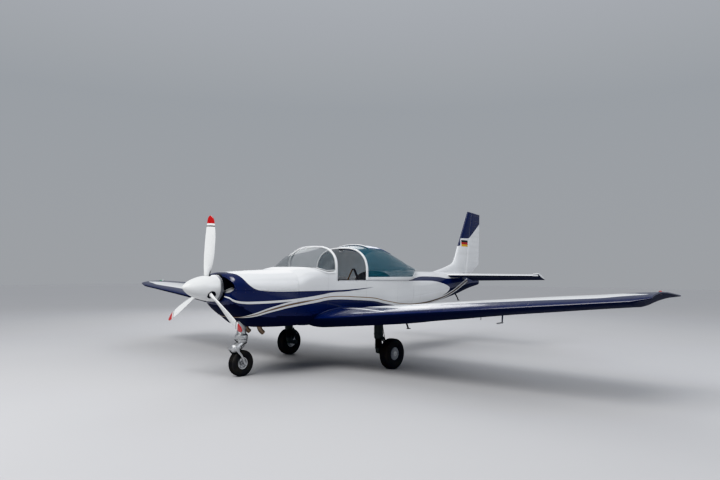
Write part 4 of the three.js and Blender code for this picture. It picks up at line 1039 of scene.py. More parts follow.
def cabin():
    obj = hull_shell("cabin_shell", FIREWALL_Y + SEAM, CABIN_END - SEAM, SKIN, PAINT_HULL, INSIDE_WHITE)
    cut(obj, [box("c", -1, 1, OPEN_FRONT, 1, SILL_Z, 2.2)])
    # open under the windshield, up to a curved front edge
    plan = [(-0.5, OPEN_FRONT + 0.02), (-0.5, -1.69)]
    for k in range(1, 12):
        t = k / 12
        plan.append((-0.5 + t, -1.69 - 0.37 * math.sin(math.pi * t) ** 0.8))
    plan += [(0.5, -1.69), (0.5, OPEN_FRONT + 0.02)]
    cut(obj, [prism("c", plan, 2, 1.40, 1.8)])
    return obj


# faces of the cabin shell that look down take the darker navy: painted shade
place(dull_shaded_below(cabin(), -0.5, SHADED_UNDER_HULL), "airframe", "cabin_tub")
deck = deck_shape("rear_deck", 0.0, CABIN_END - SEAM, 0.0, SILL_Z - 0.024)
cut(deck, [deck_hollow(0.010)])
place(deck, "airframe")
shelf = solid("deck_shelf", [hull_ring(y, 0.002) for y in spaced(0.0, CABIN_END - SEAM)], PAINT_HULL)
cut(shelf, [box("c", -1, 1, -0.5, 1, SILL_Z - 0.024, SILL_Z - 0.0005)], "INTERSECT")
cut(shelf, [deck_hollow(0.004)])
place(shelf, "airframe")

# Rear fuselage
rear = hull_shell("rear_shell", CABIN_END + SEAM, CONE_END, 0.008, PAINT_HULL, ZINC)
cut(rear, [box("c", -0.14, 0.14, 3.03, 3.8, 1.401, 1.7)])
cap_rings = [hull_ring(y, inset) for y, inset in ((3.630, 0.0085), (3.640, 0.0), (3.650, 0.004), (3.655, 0.014))]
end_cap = solid("tail_cap", cap_rings, PAINT_HULL)
# faces of the tail cap and rear shell that look down take the darker navy: painted shade
place(dull_shaded_below(end_cap, -0.12, SHADED_UNDER_HULL), "airframe")
place(dull_shaded_below(rear, -0.12, SHADED_UNDER_HULL), "airframe", "rear_fuselage")


# ---------------------------------------------------------------- wings
FOIL = smooth_table([
    (0.0, 0.0, 0.0), (math.sqrt(0.015), 0.26, 0.26), (math.sqrt(0.06), 0.52, 0.50), (math.sqrt(0.15), 0.81, 0.78),
    (math.sqrt(0.3), 1.0, 1.0), (math.sqrt(0.5), 0.87, 0.86), (math.sqrt(0.72), 0.53, 0.52), (1.0, 0.03, 0.03),
])
CHORD = [(1 - math.cos(math.pi * k / 30)) / 2 for k in range(31)]
TIP_X, SPAN_HALF = 4.690, 4.875
ROOT = np.array((-1.905, -0.020, 0.706, 0.118, 0.104))
TIP = np.array((-1.700, -0.470, 1.138, 0.084, 0.066))
FLAP = (0.660, 2.640, 0.27)
AILERON = (2.660, 4.560, 0.27)
GAP = 0.006


def wing_at(x):
    return ROOT + (TIP - ROOT) * (x / TIP_X)


# The fixed wing ahead of its control surfaces is a little deeper: extra above and below over the span
FULLER = smooth_table([
    (0.0, 0.010, 0.046), (1.35, 0.012, 0.055), (1.84, 0.012, 0.053), (2.18, 0.012, 0.038), (2.50, 0.012, 0.031),
    (2.72, 0.012, 0.025), (3.00, 0.012, 0.017), (3.30, 0.011, 0.009), (3.70, 0.009, 0.006), (4.40, 0.0, 0.0),
    (4.69, 0.0, 0.0),
])
FULLNESS = smooth_table([(0.0, 0.0), (0.22, 0.60), (0.45, 1.0), (0.63, 0.78), (0.845, 0.0), (1.0, 0.0)])


def foil_ring(x, le, te, z, up, down, more=(0.0, 0.0)):
    upper, lower = [], []
    for t in CHORD:
        u, d = FOIL(math.sqrt(t))
        full = FULLNESS(math.sqrt(t))[0]
        y = le + (te - le) * t
        upper.append(Vector((x, y, z + up * u + more[0] * full)))
        if t > 0:
            lower.append(Vector((x, y, z - down * d - more[1] * full)))
    return lower[::-1] + upper


def wing_top(x, y):
    le, te, z, up, down = wing_at(x)
    root = math.sqrt(np.clip((y - le) / (te - le), 0, 1))
    return z + up * FOIL(root)[0] + FULLER(x)[0] * FULLNESS(root)[0]


def surface_at(x, share, trim=0.002):
    le, te, z, up, down = wing_at(x)
    k = 0.53
    r = (up + down) / 2 * k - trim
    y = le + (te - le) * (1 - share)
    return y + r * 0.3, z + (up - down) / 2 * k, r, te


def control_ring(x, y, z, r, te, edge=0.003):
    """A moving surface's section: round nose about the hinge, taper to the trailing edge."""
    flank = [
        (te + (y + r * 0.1 - te) * t, edge + (r - edge) * (t + 0.03 * math.sin(math.pi * t)))
        for t in (k / 6 for k in range(1, 6))
    ]
    ring = [Vector((x, te, z + edge)), *[Vector((x, at, z + half)) for at, half in flank]]
    for k in range(17):
        a = HALF_PI + math.pi * k / 16
        blend = max(0.0, 1 - k / 2 if k < 2 else (k - 14) / 2)
        ring.append(Vector((x, y + r * 0.1 * blend + r * math.cos(a), z + r * math.sin(a))))
    return [*ring, *[Vector((x, at, z - half)) for at, half in flank[::-1]], Vector((x, te, z - edge))]


def wing_color(look):
    """Navy leading edge with white streaks, white top behind it, navy tip and underside."""
    x, y, _ = look.xyz()
    span = abs(x)
    edge = look.curve(span, [
        (0.55, -1.15), (0.91, -1.31), (1.11, -1.457), (1.28, -1.528), (1.43, -1.580), (1.56, -1.615), (1.84, -1.673),
        (2.15, -1.700), (2.25, -1.706), (2.31, -1.675), (2.36, -1.612), (2.56, -1.600), (3.30, -1.606), (4.00, -1.612),
        (4.37, -1.608), (4.56, -1.578), (4.74, -1.553), (4.82, -1.520),
    ])
    tip = look.curve(y, [(-1.80, 4.83), (-1.52, 4.81), (-1.486, 4.725), (-1.32, 4.48), (-0.9, 4.22), (-0.4, 4.05)])
    soft = 0.0015
    white = y.over(edge, soft) * span.under(tip, soft)
    inner_line = look.curve(
        span, [(0.90, -1.20), (1.30, -1.38), (1.74, -1.505), (1.94, -1.56), (2.30, -1.632), (2.45, -1.645)]
    )
    line = y.near(inner_line, 0.013, soft) * span.between(0.9, 2.40, 0.01)
    streak_line = look.curve(
        span, [(0.50, -1.310), (0.62, -1.372), (0.81, -1.462), (1.03, -1.568), (1.33, -1.692), (1.67, -1.793)]
    )
    taper = look.curve(span, [(0.50, 0.050), (0.81, 0.043), (1.03, 0.031), (1.33, 0.017), (1.67, 0.003)])
    streak = y.near(streak_line, taper, soft) * span.between(0.4, 1.67, soft)
    upper = look.xyz("Normal")[2].over(0.0, 0.1)
    mask = (white * (1.0 - line)).or_(streak) * upper
    walkway = span.between(0.50, 0.93, soft) * y.between(-1.20, -0.25, soft) * upper
    return look.mix(walkway, look.mix(mask, NAVY, WHITE), (0.045, 0.046, 0.05))


def wing_rivets(look):
    x, y, _ = look.xyz()
    span = abs(x)
    ribs = look.dots(y, span, 0.032, 0.33)
    back = y - (span * 0.0437 - 1.905)
    spars = look.dots(span, back + 0.02, 0.032, 0.46)
    return ribs.or_(spars)


def wing_seams(look):
    span = abs(look.xyz()[0])
    return span.near(1.32, 0.0007, 0.0005).or_(span.near(3.63, 0.0007, 0.0005))


PAINT_WING = painted("paint_wing", wing_color, wing_rivets, wing_seams, streak=(2.0, 0.15, 1.0))


def bay_cutter(bay, side):
    (ya, _, ra, _), (yb, _, rb, _) = surface_at(bay[0], bay[2], 0), surface_at(bay[1], bay[2], 0)
    plan = [
        (side * (bay[0] - GAP), ya - ra - GAP), (side * (bay[1] + GAP), yb - rb - GAP),
        (side * (bay[1] + GAP), 0.4), (side * (bay[0] - GAP), 0.4),
    ]
    return prism("c", plan, 2, 0.3, 1.7)


EYE_X, EYE_Y, PITOT_X, PITOT_Y = 2.680, -1.050, 3.060, -1.195
LAMP_X, LAMP_Y, LAMP_Z = 4.850, -1.215, 1.229
LAMP_COLORED = [(-0.050, 0.0), (-0.048, 0.005), (-0.036, 0.011), (-0.012, 0.0150), (0.0, 0.0152), (0.0, 0.0)]
LAMP_CLEAR = [(0.0, 0.0), (0.0, 0.0152), (0.030, 0.0145), (0.052, 0.010), (0.064, 0.004), (0.066, 0.0)]
LAMP_BODY = [(-0.085, 0.0), (-0.080, 0.010), (-0.050, 0.017), (0.060, 0.017), (0.090, 0.010), (0.096, 0.0)]

for label, side in SIDES:
    stations = np.concatenate([np.linspace(0.24, 0.9, 8), np.linspace(1.0, TIP_X, 20)])
    wing = [foil_ring(side * x, *wing_at(x), more=FULLER(x)) for x in stations]
    wing = solid(f"wing_skin_{label}", wing, PAINT_WING)
    cut(wing, [bay_cutter(FLAP, side), bay_cutter(AILERON, side)])
    cut(wing, [hull_solid("c", FIREWALL_Y, 0.6, 0.0006)])
    # the wing's underside, from just below the leading edge, takes the darker navy: painted shade
    dull_shaded_below(wing, -0.03)
    place(wing, "airframe", f"wing_{label}", 25)
    for kind, bay in (("flap", FLAP), ("aileron", AILERON)):
        rows = []
        for x in np.linspace(bay[0], bay[1], 12):
            y, z, r, te = surface_at(x, bay[2])
            rows.append(control_ring(side * x, y, z, r, te))
        obj = solid(f"{kind}_skin_{label}", rows, PAINT_WING)
        bevelled(obj, 0.002, 2, 60)
        place(obj, f"{kind}_{label}", f"{kind}_{label}", 25)
    # tip: the underside slopes up to a thin outer edge
    le, te, z, up, down = wing_at(TIP_X)
    inner = foil_ring(side * (TIP_X + SEAM), le, te, z, up, down)
    end = foil_ring(side * SPAN_HALF, -1.652, -0.430, 1.178, 0.054, -0.054)
    for p in end[:(len(end) - 1) // 2]:
        p.z -= 0.014
    rows = [[a.lerp(b, t) for a, b in zip(inner, end)] for t in (0.0, 0.1, 0.35, 0.65, 0.88, 0.96, 0.985)]
    edge = rows[-1]
    mid = [(a + b) / 2 for a, b in zip(edge, edge[::-1])]
    rows.append([p.lerp(m, 0.55) + Vector((side * 0.0027, 0, 0)) for p, m in zip(edge, mid)])
    verts, faces = grid(rows, caps=False)
    count = len(edge)
    base = (len(rows) - 1) * count
    faces.append(tuple(range(count)))
    for j in range(count // 2):
        quad = [base + j, base + j + 1, base + count - 2 - j, base + count - 1 - j]
        faces.append(tuple(dict.fromkeys(quad)))
    # faces of the tip that look down take the darker navy: painted shade
    tip = dull_shaded_below(recalc(new_object(f"wing_tip_skin_{label}", verts, faces, PAINT_WING)), -0.03)
    place(tip, "airframe", f"wing_tip_{label}", 40)

    # fairing strip in the corner between wing and hull
    rows = []
    for y in np.linspace(-1.885, -0.040, 48):
        x = 0.53
        for _ in range(12):
            x = hull_x(y, wing_top(x, y))
        z = wing_top(x, y)
        reach = np.interp(y, (-1.885, -1.80, -1.2, -0.5, -0.040), (0.006, 0.026, 0.036, 0.052, 0.060))
        hull_point = Vector((hull_x(y, z + reach) + 0.0006, y, z + reach))
        wing_point = Vector((x + reach, y, wing_top(x + reach, y) + 0.0006))
        corner = Vector((x + 0.001, y, z + 0.001))
        row = [hull_point.lerp(corner, t).lerp(corner.lerp(wing_point, t), t) for t in np.linspace(0, 1, 9)]
        row.append(Vector((x - 0.004, y, z - 0.004)))
        rows.append([Vector((side * p.x, p.y, p.z)) for p in row])
    fairing = solid(f"wing_fairing_{label}", rows, PAINT_HULL)
    place(fairing, "airframe", (), 40)

    # lamp at the tip, tie-down ring and, on the left, the air-speed tube
    lamp_parts = [
        lathe("l", outline, (side * LAMP_X, LAMP_Y, z), (0, 1, 0), mat, 32)
        for outline, z, mat in (
            (LAMP_COLORED, LAMP_Z, LENS_RED if side > 0 else LENS_GREEN), (LAMP_CLEAR, LAMP_Z, LENS_CLEAR),
            (LAMP_BODY, LAMP_Z - 0.011, BLACK),
        )
    ]
    place(joined(f"tip_lamp_{label}", lamp_parts), "airframe", (), 50)
    le, te, z, up, down = wing_at(EYE_X)
    foot = Vector((side * EYE_X, EYE_Y, z - down - FULLER(EYE_X)[1] * 0.8))
    middle = foot - Vector((0, 0, 0.020))
    ring = [middle + Vector((0, 0.0125 * math.cos(a), 0.016 * math.sin(a))) for a in turns(28)]
    outs = [(p - middle).normalized() for p in ring]
    eye = sweep("e", ring, outs, [Vector((1, 0, 0))] * len(ring), pill(0.006, 0.006, 10, 2), STEEL, closed=True)
    # the ring's base is in the darker underside navy: painted shade
    base = lathe(
        "b", [(-0.030, 0.0), (-0.030, 0.019), (0.002, 0.019), (0.004, 0.016), (0.004, 0.0)], foot, (0, 0, -1),
        SHADED_UNDER_NAVY, 32,
    )
    place(joined(f"tie_down_{label}", [eye, base]), "airframe", (), 40)

le, te, z, up, down = wing_at(PITOT_X)
parts = [
    flat_bar(
        "m", [(PITOT_X, PITOT_Y, z - down + 0.03), (PITOT_X, PITOT_Y, 0.900), (PITOT_X, PITOT_Y - 0.010, 0.812)],
        [0.040, 0.036, 0.024], 0.011, (1, 0, 0), PAINT_NAVY,
    ),
    lathe(
        "p",
        [
            (0.012, 0.0), (0.010, 0.006), (0.0, 0.0085), (-0.080, 0.0085), (-0.130, 0.0075), (-0.148, 0.0055),
            (-0.149, 0.0035), (-0.135, 0.0030), (-0.135, 0.0),
        ],
        (PITOT_X, PITOT_Y, 0.804), (0, 1, 0), STEEL, 28,
    ),
]
place(joined("pitot_tube", parts), "airframe", (), 40)


# ---------------------------------------------------------------- tail
TAIL_Z, TAIL_HALF, HINGE_Y = 1.384, 1.835, 2.800
TAIL_ROOT = np.array((2.110, 3.110, TAIL_Z, 0.044, 0.044))
TAIL_TIP = np.array((2.390, 3.020, TAIL_Z, 0.028, 0.028))
ELEVATOR_REST = math.radians(21)
HORN = dict(inner=1.725, front=2.690, half=0.020)


def tail_color(look):
    return look.mix(look.xyz("Normal")[2].under(-0.15, 0.05), WHITE, NAVY)


def tail_rivets(look):
    x, y, _ = look.xyz()
    return look.dots(y, abs(x), 0.030, 0.30, 0.002)


PAINT_TAIL = painted("paint_tail", tail_color, tail_rivets)


def tail_section(x, grow=1.0):
    t = abs(x) / TAIL_HALF
    le, te, z, up, down = TAIL_ROOT + (TAIL_TIP - TAIL_ROOT) * t
    shrink = (1 - grow) * 0.03
    return foil_ring(x, le + shrink, te, z, up * grow, down * grow)


def tailplane():
    xs = [-(TAIL_HALF - d) for d in (0.0, 0.004, 0.012, 0.024)]
    grows = [0.35, 0.70, 0.92, 1.0]
    rows = [tail_section(x, g) for x, g in zip(xs, grows)]
    rows += [tail_section(x) for x in np.linspace(-1.7, 1.7, 21)]
    rows += [tail_section(-x, g) for x, g in zip(xs[::-1], grows[::-1])]
    obj = solid("tailplane_skin", rows, PAINT_TAIL)
    back = HINGE_Y - 0.028 - GAP
    cut(obj, [box("c", -2, 2, back, 4, 1, 1.8)])
    for s in (1, -1):
        x0, x1 = sorted((s * (HORN["inner"] - GAP), s * 2))
        cut(obj, [box("c", x0, x1, HORN["front"] - 0.010, 4, 1, 1.8)])
    return obj


# the tailplane's underside takes the darker navy: painted shade
place(dull_shaded_below(tailplane(), -0.15), "airframe", "tailplane", 25)


def elevator_half(side):
    rows = []
    for x in np.linspace(0.162, TAIL_HALF, 16):
        t = x / TAIL_HALF
        r, te = 0.028 + (HORN["half"] - 0.028) * t, 3.120 + (3.018 - 3.120) * t
        ring = control_ring(x, HINGE_Y, TAIL_Z, r, te, 0.002)
        if x < 0.2:
            for p in ring:
                p.x += 0.040 * np.clip((p.y - HINGE_Y) / 0.06, 0, 1)
        rows.append([Vector((side * p.x, p.y, p.z)) for p in ring])
    blade = solid("e", rows, PAINT_TAIL)
    h = HORN["half"]
    x0, x1 = sorted((side * HORN["inner"], side * TAIL_HALF))
    nose = [(HORN["front"] + 0.04 * k / 4, h * math.sin(HALF_PI * (0.25 + 0.75 * k / 4))) for k in range(1, 5)]
    upper = [(HORN["front"], 0.004), *nose, (HINGE_Y + 0.01, h)]
    outline = [(HORN["front"], TAIL_Z - 0.004), *[(y, TAIL_Z + half) for y, half in upper]]
    outline += [(y, TAIL_Z - half) for y, half in upper[:0:-1]]
    horn = prism("h", outline, 0, x0, x1, PAINT_TAIL, 0.002)
    cut(blade, [horn], "UNION")
    return blade


torque_tube = tube("t", [(-0.21, HINGE_Y, TAIL_Z), (0.21, HINGE_Y, TAIL_Z)], 0.015, STEEL, 32)
elevator = joined("elevator_skin", [elevator_half(1), elevator_half(-1), torque_tube])
hinge = Matrix.Translation((0, HINGE_Y, TAIL_Z))
moved(elevator, hinge @ Matrix.Rotation(-ELEVATOR_REST, 4, "X") @ hinge.inverted())
# the elevator's underside takes the darker navy: painted shade
place(dull_shaded_below(elevator, -0.15), "elevator", "elevator", 25)

FIN_TOP, RUDDER_Z0, RUDDER_Y0, RUDDER_SLOPE = 2.770, 1.430, 3.090, 0.2266
FIN_LE = smooth_table([
    (1.432, 1.760), (1.475, 1.975), (1.520, 2.190), (1.580, 2.420), (1.640, 2.590), (1.72, 2.665), (2.0, 2.800),
    (2.38, 3.005), (2.77, 3.215),
])


def hinge_at(z):
    return RUDDER_Y0 + (z - RUDDER_Z0) * RUDDER_SLOPE


def rudder_nose(z):
    return 0.042 + (0.024 - 0.042) * (z - RUDDER_Z0) / (FIN_TOP - RUDDER_Z0)


def finished(ring, z):
    """The ring at height z, with the slope of the top where it is the last one."""
    if z > FIN_TOP - 1e-6:
        for p in ring:
            p.z -= 0.06 * (p.y - 3.215)
    return ring


def fin_colors(look):
    _, y, z = look.xyz()
    edge = look.curve(y, [
        (2.70, 1.985), (2.754, 1.995), (2.866, 2.016), (2.882, 2.045), (2.904, 2.155), (2.914, 2.169), (3.05, 2.178),
        (3.214, 2.188),
        (3.313, 2.242), (3.444, 2.328), (3.672, 2.482), (3.76, 2.540),
    ])
    color = look.mix(z.over(edge, 0.001), WHITE, NAVY)
    flag = y.between(2.918, 3.172, 0.001) * z.between(2.000, 2.136, 0.001)
    color = look.mix(flag, color, (0.012, 0.012, 0.012))
    color = look.mix(flag * z.under(2.091, 0.001), color, (0.42, 0.02, 0.015))
    return look.mix(flag * z.under(2.045, 0.001), color, (0.62, 0.36, 0.03))


def fin_rivets(look):
    _, y, z = look.xyz()
    lean = y - z * RUDDER_SLOPE
    return look.dots(lean, z - 0.02, 0.030, 0.31, 0.002).or_(look.dots(z, lean - 0.02, 0.030, 0.24, 0.002))


def rudder_marks(look):
    _, y, z = look.xyz()
    past_hinge = y - z * RUDDER_SLOPE - (RUDDER_Y0 - RUDDER_Z0 * RUDDER_SLOPE)
    # beads every 0.115 m, darkened in painted() like rivet heads: painted shade along the ribs, with a bump
    bead_shade = (z - 0.05).every(0.115).under(0.006, 0.004) * past_hinge.over(0.07, 0.03)
    return fin_rivets(look).or_(bead_shade)


PAINT_FIN = painted("paint_fin", fin_colors, fin_rivets)
PAINT_RUDDER = painted("paint_rudder", fin_colors, rudder_marks)
FIN_WIDTH = smooth_table([
    (0, 0), (math.sqrt(0.03), 0.3), (math.sqrt(0.12), 0.62), (math.sqrt(0.4), 0.95), (math.sqrt(0.75), 1.0), (1, 0.9),
])


def fin_ring(z):
    le, half = float(FIN_LE(z)[0]), rudder_nose(z) + 0.003
    chord = hinge_at(z) - rudder_nose(z) - GAP - le
    shares = (0, 0.004, 0.015, 0.03, 0.06, 0.12, 0.2, 0.3, 0.4, 0.55, 0.75, 0.9, 1)
    near = [(t, float(FIN_WIDTH(math.sqrt(t))[0])) for t in shares]
    ring = [Vector((half * w, le + t * chord, z)) for t, w in near]
    ring += [Vector((-half * w, le + t * chord, z)) for t, w in near[:0:-1]]
    return finished(ring, z)


def capped(ring, grow, drop):
    """The ring drawn in towards its middle line and raised, for a rounded top."""
    mid = sum(ring, Vector()) / len(ring)
    return [Vector((p.x * grow, mid.y + (p.y - mid.y) * (1 - (1 - grow) * 0.02), p.z + drop)) for p in ring]


def with_top(ring_at, heights):
    """Rings at these heights, and the rounded top that fin and rudder share."""
    top = ring_at(FIN_TOP)
    caps = [capped(top, grow, drop) for grow, drop in ((1.0, -0.012), (0.93, -0.005), (0.6, -0.0008))]
    return [ring_at(z) for z in heights] + caps


fin_zs = [1.432, 1.45, 1.475, 1.5, 1.52, 1.55, 1.58, 1.61, 1.64, 1.68, 1.72, 1.8, 1.9, 2.0, 2.2, 2.4, 2.6]
fin = solid("fin_skin", with_top(fin_ring, fin_zs), PAINT_FIN)
cut(fin, [hull_solid("c", CABIN_END, 3.64, 0.0006)])
cut(fin, [solid("c", [tail_section(x) for x in np.linspace(-0.5, 0.5, 5)])])
place(fin, "airframe", "fin", 30)


def rudder_ring(z):
    te = np.interp(z, (1.408, 1.632, 2.770), (3.330, 3.694, 3.750))
    ring = control_ring(0, hinge_at(z), 0, rudder_nose(z), te)
    return finished([Vector((p.z, p.y, z)) for p in ring], z)


rudder_zs = [1.408, 1.44, 1.50, 1.56, 1.60, 1.632, 1.66, 1.8, 2.0, 2.2, 2.4, 2.6]
rudder = solid("rudder_skin", with_top(rudder_ring, rudder_zs), PAINT_RUDDER)
place(rudder, "rudder", "rudder", 28)


# ---------------------------------------------------------------- windshield and canopy
ARCH = dict(y=-1.510, depth=0.044, half=0.533, top=1.824, tube=0.034)
ARCH_N = 2.7


def arch_point(v, half, low, top, y, n=ARCH_N):
    a = v * HALF_PI
    return Vector((half * power(math.sin(a), n), y, low + (top - low) * power(math.cos(a), n)))


def evenly(points, count):
    """That many points at even distances along the line through the given ones."""
    run = [0.0]
    for a, b in zip(points, points[1:]):
        run.append(run[-1] + (b - a).length)
    out = []
    for d in np.linspace(0, run[-1], count):
        i = min(max(int(np.searchsorted(run, d)), 1), len(points) - 1)
        out.append(points[i - 1].lerp(points[i], (d - run[i - 1]) / max(run[i] - run[i - 1], 1e-9)))
    return out


def even_arch(half, low, foot, top, y):
    """Points at even distances along the arch, from the right foot to the left."""
    raw = [arch_point(-1 + 2 * j / 400, half, low, top, y) for j in range(401)]
    return evenly([Vector((-half, y, foot)), *raw, Vector((half, y, foot))], 72)


def hoop(name, centre_line, width, depth, mat):
    """A bent bar of rounded rectangular section, width along Y and depth in the arch's plane."""
    aft = Vector((0, 1, 0))
    outs = [aft.cross(heading(centre_line, i)) for i in range(len(centre_line))]
    return sweep(name, centre_line, [aft] * len(outs), outs, pill(width, depth, 20, 2 / 0.62), mat)


inset = ARCH["tube"] / 2
line = even_arch(ARCH["half"] - inset, 1.470, SILL_Z + 0.001, ARCH["top"] - inset, ARCH["y"] + ARCH["depth"] / 2)
arch = hoop("windshield_hoop", line, ARCH["depth"], ARCH["tube"], PAINT_WHITE)
place(arch, "airframe", "windshield_arch", 40)

SHIELD = dict(low=1.450, top=1.816, front=-2.095, side=-1.640, half=0.520, bulge=0.026)


def shield_base(v):
    bend = 0.84
    u = min(abs(v) / bend, 1)
    x = math.copysign(SHIELD["half"] * math.sin(u * HALF_PI), v)
    y = SHIELD["front"] + (SHIELD["side"] - SHIELD["front"]) * (1 - math.cos(u * HALF_PI))
    rest = max(0.0, (abs(v) - bend) / (1 - bend))
    along = y + (ARCH["y"] - 0.020 - y) * rest
    return Vector((x, along, deck_height(x, along) - 0.002))


SHIELD_ROWS, SHIELD_COLS = 24, 72
shield = []
for i in range(SHIELD_ROWS + 1):
    u = i / SHIELD_ROWS
    row = []
    for j in range(SHIELD_COLS + 1):
        v = -1 + 2 * j / SHIELD_COLS
        low = shield_base(v)
        high = arch_point(v, SHIELD["half"], SHIELD["low"] + 0.012, SHIELD["top"], ARCH["y"] - 0.001)
        out = math.sin(u * math.pi) * SHIELD["bulge"] * math.cos(v * HALF_PI)
        row.append(low.lerp(high, u) + Vector((0, -out * 0.6, out)))
    shield.append(row)
place(thick_sheet("windshield_glass", shield, 0.006, CLEAR), "airframe", "windshield", 40)

# the raised white foot round the windshield, its black seal and its screws
feet = [shield_base(v) for v in np.linspace(-0.975, 0.975, 90)]
foot_ups = [on_top(p.x, p.y)[1] for p in feet]
foot_outs = sideways(feet, foot_ups)
parts = []
for out, up, outline, mat in (
    (0.014, 0.003, pill(0.036, 0.009, 16, 3), PAINT_WHITE), (-0.003, 0.0065, pill(0.008, 0.008, 10, 3), TRIM_RUBBER),
):
    path = [p + o * out + u * up for p, o, u in zip(feet, foot_outs, foot_ups)]
    parts.append(sweep("f", path, foot_outs, foot_ups, outline, mat))
for p, o, u in list(zip(feet, foot_outs, foot_ups))[4:-4:5]:
    parts.append(stud(p + o * 0.020 + u * 0.0072, u, 0.0042, 0.0012, STEEL))
place(joined("windshield_foot", parts), "airframe", (), 40)

# y, half width, rail height, top
CANOPY = smooth_table([
    (-0.842, 0.560, 1.302, 1.815), (-0.700, 0.564, 1.302, 1.846), (-0.500, 0.566, 1.302, 1.876),
    (-0.200, 0.560, 1.302, 1.872), (0.100, 0.538, 1.302, 1.812), (0.350, 0.500, 1.302, 1.728),
    (0.560, 0.444, 1.310, 1.648), (0.760, 0.352, 1.396, 1.578), (0.960, 0.228, 1.448, 1.526),
    (1.130, 0.096, 1.466, 1.496),
])
CANOPY_FRONT, CANOPY_BACK, BOW, RAIL_HIGH = -0.842, 1.130, 0.046, 0.046


def canopy_row(y, proud=0.0, count=73):
    half, low, top = CANOPY(y)
    wall = min(0.090, (top - low) / 3)
    round_off = float(np.interp(y, (-0.7, 0.2), (ARCH_N, 2.0)))
    row = []
    for j in range(count):
        v = -1 + 2 * j / (count - 1)
        p = arch_point(v, half + proud, low + wall, top + proud, y, round_off)
        if j in (0, count - 1):
            p.z = low
        row.append(p)
    return evenly(row, count)


def rail_line(y):
    return np.interp(y, (CANOPY_FRONT, 0.560, 0.760, 1.100, 1.25), (1.302, 1.310, 1.396, 1.490, 1.490)) + RAIL_HIGH


canopy_ys = list(np.linspace(CANOPY_FRONT + BOW - 0.006, CANOPY_BACK, 60))
glazing = thick_sheet("canopy_glass", [canopy_row(y) for y in canopy_ys], 0.006, TINTED)
place(glazing, "canopy", "canopy_glazing", 40)

frame_blank = thick_sheet(
    "canopy_rails", [canopy_row(y, 0.002) for y in np.linspace(CANOPY_FRONT, CANOPY_BACK, 66)], 0.014, PAINT_WHITE
)
outline = [
    (CANOPY_FRONT - 0.01, 1.2), (1.25, 1.2), (1.25, 1.49), (1.10, 1.49), (0.76, 1.396 + RAIL_HIGH),
    (0.56, 1.310 + RAIL_HIGH), (CANOPY_FRONT - 0.01, 1.302 + RAIL_HIGH),
]
cut(frame_blank, [prism("c", outline, 0, -0.7, 0.7)], "INTERSECT")
rails = bevelled(frame_blank, 0.0015, 2, 50)
half, low, top = CANOPY(CANOPY_FRONT + BOW / 2)
bow_line = even_arch(half - 0.006, low + 0.09, low, top - 0.006, CANOPY_FRONT + BOW / 2)
bow = hoop("canopy_bow", bow_line, BOW - 0.004, 0.024, PAINT_WHITE)
place(joined("canopy_frame_skin", [rails, bow]), "canopy", "canopy_frame", 40)

ROOF_FRONT = -0.560
roof_rows = []
for y in np.linspace(ROOF_FRONT, 0.120, 30):
    roof_rows.append([p for p in canopy_row(y, 0.004, 97) if abs(p.x) <= 0.335])
fewest = min(len(r) for r in roof_rows)
roof_rows = [r[(len(r) - fewest) // 2:(len(r) - fewest) // 2 + fewest] for r in roof_rows]
ROOF_BLUE = painted("paint_roof", (0.010, 0.055, 0.20))
roof = bevelled(thick_sheet("canopy_roof_skin", roof_rows, 0.014, ROOF_BLUE), 0.003, 2, 50)
place(roof, "canopy", "canopy_roof", 40)
line = [p for p in canopy_row(ROOF_FRONT, 0.010, 97) if abs(p.x) <= 0.345]
place(tube("canopy_roof_hoop", line, 0.0085, PAINT_WHITE, 16, smooth=False), "canopy")

# cap over the canopy's rear point, screws along rails and bow, and the latch with its handle
rows = []
for y, grow in ((1.030, 0.0006), (1.050, 0.0026), (1.090, 0.0034), (1.126, 0.0030), (1.1335, -0.002)):
    rows.append(canopy_row(min(y, CANOPY_BACK), grow, 49))
    for p in rows[-1]:
        p.y = y
place(thick_sheet("canopy_tail_cap", rows, 0.009, PAINT_WHITE), "canopy", (), 40)
parts = []
for side in (1, -1):
    for y in np.arange(CANOPY_FRONT + 0.09, 0.95, 0.105):
        z = rail_line(float(y)) - 0.018
        row = canopy_row(float(y), 0.002)
        spot = min(row[len(row) // 2:] if side > 0 else row[:len(row) // 2], key=lambda p: abs(p.z - z))
        parts.append(stud(spot, Vector((side, 0, 0.06)).normalized(), 0.0048, 0.0016, STEEL))
for i in range(4, len(bow_line) - 4, 7):
    p = bow_line[i]
    way = heading(bow_line, i).cross(Vector((0, 1, 0))).normalized()
    if way.dot(Vector((p.x, 0, p.z - 1.3))) < 0:
        way = -way
    parts.append(stud(p + way * 0.0115, way, 0.0048, 0.0016, STEEL))
place(joined("canopy_screws", parts), "canopy", (), 40)
handle_z = top - 0.034
parts = [
    bevelled(
        box("b", -0.045, 0.045, CANOPY_FRONT + 0.004, CANOPY_FRONT + 0.040, handle_z - 0.004, handle_z + 0.012, BLACK),
        0.003, 2,
    ),
    tube(
        "h",
        [
            (-0.040, CANOPY_FRONT + 0.022, handle_z - 0.002), (-0.036, CANOPY_FRONT + 0.018, handle_z - 0.024),
            (0.036, CANOPY_FRONT + 0.018, handle_z - 0.024), (0.040, CANOPY_FRONT + 0.022, handle_z - 0.002),
        ],
        0.0052, STEEL, 16, 8,
    ),
]
place(joined("canopy_latch", parts), "canopy", (), 40)


